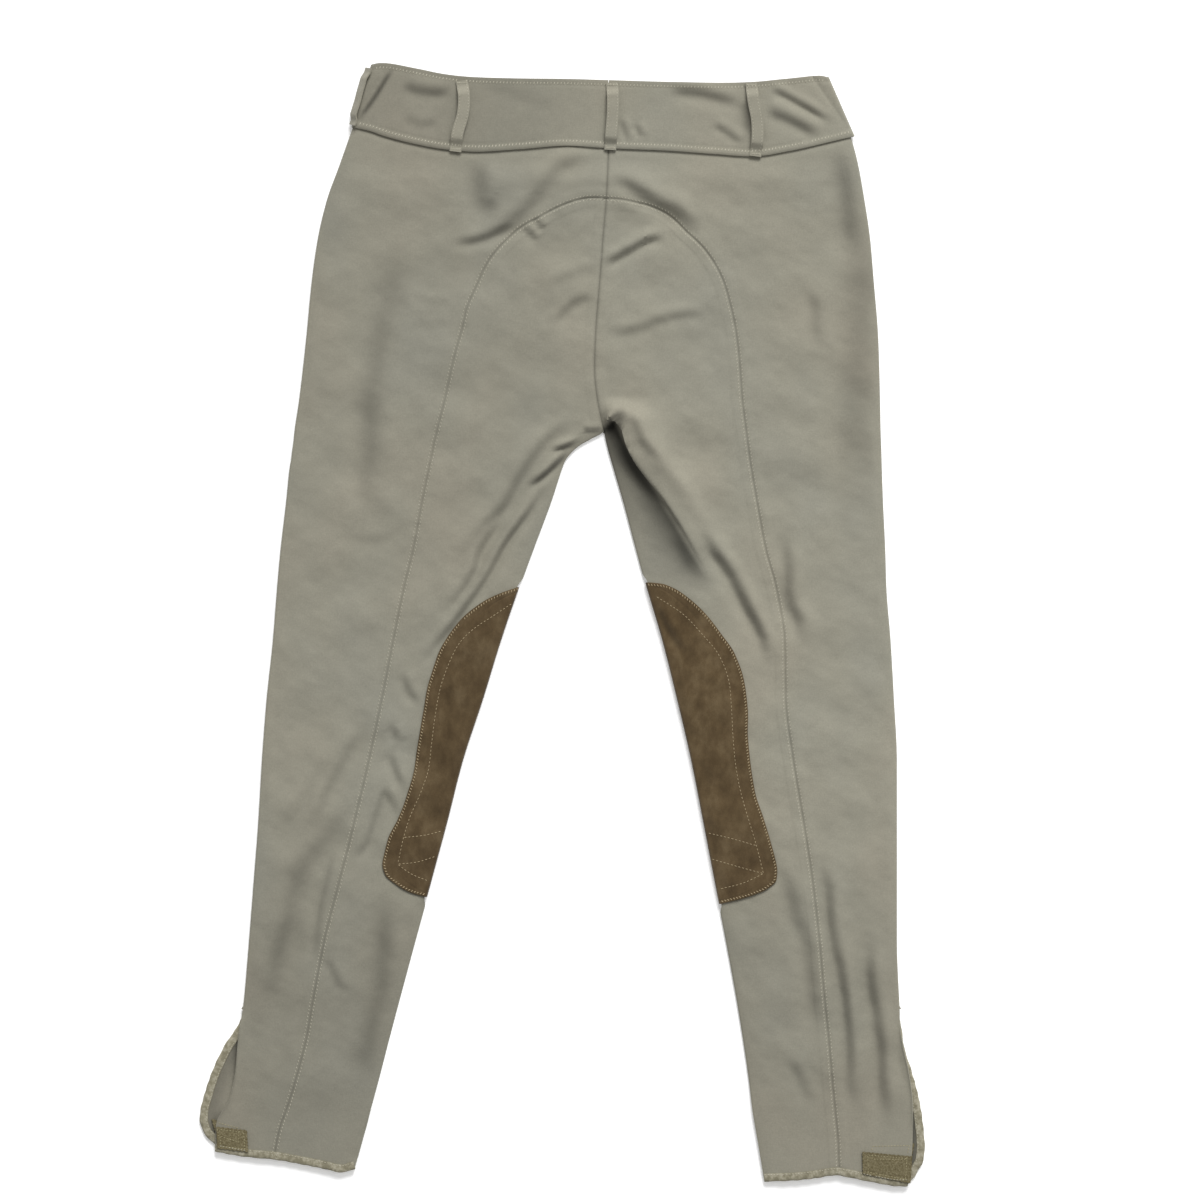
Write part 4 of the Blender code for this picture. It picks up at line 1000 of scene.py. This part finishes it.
def waistband(leg, fronts, backs):
    """Half of the contoured band, round the side from the centre front to the centre back."""
    front, back = even_path(fronts[0], BAND_FRONT_COLUMNS), even_path(backs[0], BAND_BACK_COLUMNS)
    gap, lean = 2 * SEAM_TRIM, BAND_LEAN[leg.name]
    rows = []
    for share in BAND_SHARES:
        shift = lean * share - BAND_FLARE[leg.name] * (1 - share)
        x, low = front[:, 0], front[:, 1] + gap
        side = leg.inward * ease((np.abs(x - CENTRE_FRONT) - 60) / 90)
        high = FRONT_TOP(x + side * lean)
        z = np.maximum(front[:, 2], BAND / 2)
        first = np.stack([x + side * shift, mix(low, high, share), z, np.zeros(x.shape)], axis=1)
        x, low = back[:, 0], back[:, 1] + gap
        side = leg.inward * ease(1 - np.abs(x - back[0, 0]) / 90)
        corner = 1.8 * np.exp(-np.abs(x - back[0, 0]) / 4)
        high = BACK_TOP(x + side * lean) - corner
        y = mix(low, high, share)
        flat = np.stack([x + side * shift, y], axis=1)
        z = leg.back_height(x, y) + 0.5 * ease(np.abs(x - back[0, 0]) / 12)
        puckers = 0.08 * np.sin(x / 1.3) * np.exp(-((share - 0.1) / 0.06) ** 2)
        z = z + band_profile(share, high - low) + puckers
        # the band's back half takes the back layer's painted shade
        last = np.concatenate([flat, z[:, None], leg.shade(x, y)[:, None]], axis=1)
        turn = half_turn(first[-1], last[0], -leg.inward * (FOLD_REACH - 0.1), FOLD_COLUMNS)
        row = np.concatenate([first, turn, last])
        if leg.name == "left":
            lap = np.linspace(1, 0, 14)[:-1, None]
            tip_y = mix(CENTRE_FRONT_SEAM + gap, CENTRE_FRONT_TOP, share)
            tip = (row[0][0] + OVERLAP_LENGTH, tip_y, BAND / 2, 0.0)
            end = row[0] * (1 - lap) + np.array(tip) * lap
            row = np.concatenate([end, row])
        rows.append(row)
    whole = np.array(rows)[::-1]
    top_edge, low_edge = (whole[row, -BAND_BACK_COLUMNS:, :2] for row in (0, -1))
    sheet(f"waist_band_{leg.name}", leg.face_up(whole), BAND, "breeches_cloth", [f"waistband_{leg.name}"],
          [f"front_panel_{leg.name}"], held="folded")
    return [(top_edge, BAND_TOP_STITCHES), (low_edge, BAND_LOW_STITCHES)]


def belt_loop(name, level, arch, tilt=0.0):
    """A loop tacked at both ends and arched for a belt; tilt turns it to face the left side."""
    path = smooth_path(LOOPS[name], LOOP_ROWS)
    share = np.linspace(0, 1, LOOP_ROWS)
    raised = ease((share - 0.06) / 0.14) * ease((0.93 - share) / 0.13)
    side = np.linspace(-1, 1, 9)
    run = directions(path)
    rows = []
    for k, (x, y) in enumerate(path):
        across = side * LOOP_WIDTH / 2
        out = raised[k] * arch + 0.25 * (1 - side ** 4) + 0.1 * math.sin(k / 3.1)
        place_x = x - out * math.sin(tilt) - across * run[k, 1] * math.cos(tilt)
        place_y = y + across * run[k, 0] * math.cos(tilt)
        z = level + out * math.cos(tilt) + across * math.sin(tilt)
        rows.append(np.stack([place_x, place_y, z], axis=1))
    band = "waist_band_right" if name.endswith("right") else "waist_band_left"
    sheet(f"loop_{name}", np.array(rows), LOOP, "breeches_cloth", [f"belt_loop_{name}"], [band])
    return path


# How far each point of the folded tape lies out from the edge, and its height in half thicknesses
TAPE_PROFILE = [
    (-TAPE_REACH, 0.93), (-TAPE_REACH + 0.9, 1.0), (-3.2, 1.08), (-1.5, 1.08), (0.1, 1.0), (0.65, 0.62),
    (0.85, 0.0), (0.65, -0.62), (0.1, -1.0), (-1.5, -1.05), (-3.2, -1.05), (-TAPE_REACH, -1.0)]


def binding(name, path, inward, on):
    """A folded tape round an edge; the path gives the cloth's edge at its middle height."""
    count = max(12, int(distances(path)[-1] / 1.1))
    path = even_path(np.asarray(path), count)
    half = CLOTH / 2 + 0.15 + TAPE / 2
    along = distances(path)
    columns = []
    for out, up in TAPE_PROFILE:
        lumps = np.sin(along / 1.9 + 2 * np.sin(along / 13))
        wave = 0.12 * lumps * (up > 0)
        moved = offset_path(path[:, :2], -inward * (out + 0.2 * lumps * (out > 0)))
        columns.append(np.concatenate([moved, (path[:, 2] + up * half + wave)[:, None]], axis=1))
    grid = np.array(columns)[::inward]
    sheet(name, grid, TAPE, "hem_tape", [name.replace("bound_edge", "hem_tape")], on, held="folded")
    return offset_path(path[:, :2], inward * (TAPE_REACH - 1.0))


def small_tape(name, level, on):
    """A small flat tape with four corners, a little worn along its edges."""
    a, b, c, d = (np.array(p, float) for p in TABS[name])
    down, across = np.meshgrid(np.linspace(0, 1, 20), np.linspace(0, 1, 30), indexing="ij")
    flat = mix(mix(a, d, down[..., None]), mix(b, c, down[..., None]), across[..., None])
    edge = np.minimum(np.minimum(down, 1 - down) * 16, np.minimum(across, 1 - across) * 25)
    frayed = np.stack([np.sin(flat[..., 1] * 2.1), np.sin(flat[..., 0] * 1.7)], axis=2)
    flat = flat + 0.35 * (edge < 0.01)[..., None] * frayed
    z = level + ripple(flat[..., 0], flat[..., 1], 41, 5, 0.10) - 0.3 * np.exp(-((edge - 2.2) / 0.7) ** 2)
    whole = np.concatenate([flat, z[..., None]], axis=2)[::-1]
    piece = name.replace("tab", "closure").replace("strip", "closure")
    sheet(piece, whole, TAB, "fastening_tape", [name], on)
    return [a, b, c, d]      # in order round the tape


def fly_flap():
    """The J-shaped fly over the centre front, on the floor side."""
    down = np.linspace(0, 1, 50)
    width = FLY_WIDTH * (1 - 0.8 * ease((down - 0.62) / 0.38))
    x = CENTRE_FRONT - 1.0 - width[:, None] * np.linspace(0, 1, 12)
    y = np.repeat((FLY_TOP - FLY_LENGTH * down)[:, None], 12, axis=1)
    sheet("fly", np.stack([x, y, np.full(x.shape, FRONT_REST)], axis=2), CLOTH, "breeches_cloth",
          ["fly_flap"], ["floor"])


# ---------------------------------------------------------------- stitches

class Sewing:
    """Lays stitches on the cloth along lines given in plan."""

    def __init__(self):
        points, faces = [], []
        for obj, *_ in PIECES:
            base = len(points)
            points.extend((v.co / MM)[:] for v in obj.data.vertices)
            faces.extend([i + base for i in polygon.vertices] for polygon in obj.data.polygons)
        self.cloth = BVHTree.FromPolygons(points, faces)
        bpy.ops.object.select_all(action="DESELECT")
        bpy.ops.mesh.primitive_uv_sphere_add(segments=6, ring_count=4, radius=0.5)
        model = bpy.context.object
        bpy.ops.object.mode_set(mode="EDIT")
        bpy.ops.mesh.select_all(action="SELECT")
        bpy.ops.transform.rotate(value=math.pi / 2, orient_axis="Y", center_override=(0, 0, 0))
        bpy.ops.object.mode_set(mode="OBJECT")
        self.points = np.array([v.co[:] for v in model.data.vertices])
        self.faces = [list(p.vertices) for p in model.data.polygons]
        bpy.data.objects.remove(model, do_unlink=True)

    def drop(self, x, y):
        """The cloth's upper surface at a place in plan, and its normal, or None."""
        hit, normal, _, _ = self.cloth.ray_cast(Vector((x, y, HIGH_ABOVE + 10)), Vector((0, 0, -1)))
        return hit, normal

    def line(self, points, stitch, side=1, ceiling=HIGH_ABOVE):
        """Stitches along one line, turned to one side or the other, and none above the ceiling."""
        pitch, length, slant, width = stitch
        points = np.asarray(points, float)
        along = distances(points)
        made = []
        for at in np.arange(pitch / 2, along[-1], pitch):
            (x0, y0), (x, y), (x1, y1) = ([np.interp(place, along, points[:, k]) for k in (0, 1)]
                                          for place in (at - 0.5, at, at + 0.5))
            angle = math.atan2(y1 - y0, x1 - x0) + math.radians(slant * side)
            dx, dy = math.cos(angle) * length / 2, math.sin(angle) * length / 2
            middle, normal = self.drop(x, y)
            start, _ = self.drop(x - dx, y - dy)
            end, _ = self.drop(x + dx, y + dy)
            if None in (middle, start, end) or abs(end.z - start.z) > STEEPEST or middle.z > ceiling:
                continue
            made.append((middle, (end - start).normalized(), normal, length, width))
        return made

    def join(self, name, stitches, material):
        """One piece of all those stitches."""
        points, faces = [], []
        for middle, along, normal, length, width in stitches:
            side = normal.cross(along).normalized()
            up = along.cross(side)
            turn = np.array([along, side, up])
            shaped = self.points * (length, width, width * 0.8)
            base = len(points) * len(self.points)
            points.append(shaped @ turn + np.array(middle) + np.array(up) * width * 0.2)
            faces.extend([i + base for i in face] for face in self.faces)
        mesh = bpy.data.meshes.new(name)
        mesh.from_pydata((np.concatenate(points) * MM).tolist(), [], faces)
        mesh.materials.append(material)
        mesh.shade_smooth()
        obj = add_object(name, mesh)
        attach(obj, "root")


# ---------------------------------------------------------------- scene

FLOOR_GLOW = 0.22          # the floor is a light table, so that shadows beside the cloth stay pale
SKY = 0.40
SUNS = [("key", (0.25, 1.15, 0.95), 3.3, 28), ("fill", (0.9, 0.3, 1.2), 0.35, 40)]
CAMERA = (0.0327, 0.0210, 6.0)
FRAME_WIDTH = 1.032        # what the camera shows of the floor, from side to side, in metres


def camera_and_light():
    """Camera straight above with a long lens, soft studio light and a plain pale floor."""
    data = bpy.data.cameras.new("camera")
    data.sensor_width = 36.0
    data.lens = data.sensor_width * CAMERA[2] / FRAME_WIDTH
    data.clip_end = 50
    camera = add_object("camera", data)
    camera.location = CAMERA
    bpy.context.scene.camera = camera

    bpy.ops.object.select_all(action="DESELECT")
    bpy.ops.mesh.primitive_plane_add(size=8.0, location=(0, 0, -0.0004))
    floor = bpy.context.object
    floor.name = "floor"
    paper = Finish("floor_paper", 0.9)
    tone = paper.noise((2, 2, 2), 1.0)
    paper.fill(paper.shader, {"Emission Color": grey(1.0), "Emission Strength": FLOOR_GLOW})
    floor.data.materials.append(paper.finish(paper.ramp(tone, (0.4, 0.975), (0.6, 0.98))))

    world = bpy.data.worlds.new("studio")
    bpy.context.scene.world = world
    world.use_nodes = True
    sky = world.node_tree.nodes["Background"].inputs
    sky["Color"].default_value = grey(1.0)
    sky["Strength"].default_value = SKY
    for name, towards, strength, softness in SUNS:
        light = bpy.data.lights.new(name, "SUN")
        light.energy = strength
        light.angle = math.radians(softness)
        lamp = add_object(name, light)
        lamp.rotation_euler = Vector(towards).to_track_quat("Z", "Y").to_euler()
    bpy.context.scene.view_settings.view_transform = "Standard"


camera_and_light()
FINISHES = {"breeches_cloth": breeches_cloth(), "patch_suede": patch_suede(), "hem_tape": hem_tape(),
            "fastening_tape": fastening_tape()}
PALE_THREAD = thread("pale_thread", 188, 184, 167)
TAN_THREAD = thread("tan_thread", 176, 160, 130)
OLIVE_THREAD = thread("olive_thread", 168, 160, 128)
LEG_SHAPES = [LegShape("left"), LegShape("right")]
BAND_LINES, TAPE_LINES, RIMS = [], [], {}
for leg in LEG_SHAPES:
    fronts, backs, vent_from = wrap_panel(leg)
    seat_grid = seat_panel(leg)
    RIMS[leg.name] = knee_patch(leg)
    BAND_LINES += waistband(leg, fronts, backs)
    flap_edge = np.concatenate([fronts[vent_from:, -1], fronts[-1, :-1][::-1]])[:, :3]
    flap_edge[:, 0] += leg.inward * TAPE_TUCK * np.exp(-distances(flap_edge) / TAPE_TUCK_LENGTH)
    line = binding(f"bound_edge_front_{leg.name}", flap_edge, leg.inward, [f"front_panel_{leg.name}"])
    TAPE_LINES.append((line, FRONT_AT_HEM + 2.2))
    back_edge = np.concatenate([backs[-1, :], seat_grid[-1, 1:]])[:, :3]
    line = binding(f"bound_edge_back_{leg.name}", back_edge, leg.inward, [f"seat_panel_{leg.name}"])
    TAPE_LINES.append((line, HIGH_ABOVE))
fly_flap()
LOOP_LINES = [belt_loop(name, BAND_TOP, LOOP_ARCH) for name in ("back_left", "back_centre", "back_right")]
belt_loop("front_left", SIDE_LOOP_LEVEL, SIDE_LOOP_ARCH, SIDE_LOOP_TILT)
belt_loop("front_right", LOOP / 2, 0.0)
TAB_CORNERS = []
for side in ("left", "right"):
    for name, level in (("flap_strip", FRONT_AT_HEM), ("ankle_tab", BACK_AT_HEM + 0.6)):
        level += CLOTH / 2 + GAP + TAB / 2
        TAB_CORNERS.append(small_tape(f"{name}_{side}", level, [f"front_panel_{side}"]))

sewing = Sewing()
for leg in LEG_SHAPES:
    seams = []
    for away in (-BESIDE_SEAM, BESIDE_SEAM):
        seams += sewing.line(offset_path(leg.back_seam, away), SEAM_STITCH, leg.inward)
    sewing.join(f"seam_stitches_{leg.name}", seams, PALE_THREAD)
    edging = offset_path(RIMS[leg.name], leg.inward * INSIDE_RIM)
    patch = sewing.line(edging, EDGE_STITCH, leg.inward)
    for line in PATCH_LINES[leg.name]:
        patch += sewing.line(smooth_path(line, 60), PATCH_STITCH)
    sewing.join(f"patch_stitches_{leg.name}", patch, TAN_THREAD)
band, tape, tabs = [], [], []
for edge, away in BAND_LINES:
    edge = edge[np.argsort(edge[:, 0])]
    band += sewing.line(offset_path(edge, away), BAND_STITCH)
for path in LOOP_LINES:
    for away in (-BESIDE_LOOP, BESIDE_LOOP):
        band += sewing.line(offset_path(path, away), LOOP_STITCH)
    for end in (path[2], path[-3]):
        band += sewing.line(end + np.linspace((-TACK_LENGTH / 2, 0), (TACK_LENGTH / 2, 0), 9), TACK_STITCH)
sewing.join("band_stitches", band, PALE_THREAD)
for path, ceiling in TAPE_LINES:
    tape += sewing.line(path, TAPE_STITCH, ceiling=ceiling)
sewing.join("tape_stitches", tape, PALE_THREAD)
for corners in TAB_CORNERS:
    centre = sum(corners) / 4
    loop = [mix(centre, corner, INSIDE_TAB) for corner in corners + corners[:1]]
    tabs += sewing.line(loop, TAB_STITCH)
sewing.join("tab_stitches", tabs, OLIVE_THREAD)

for piece, width, length, area, held, on in PIECES:
    width, length = round(width, 3), round(length, 3)
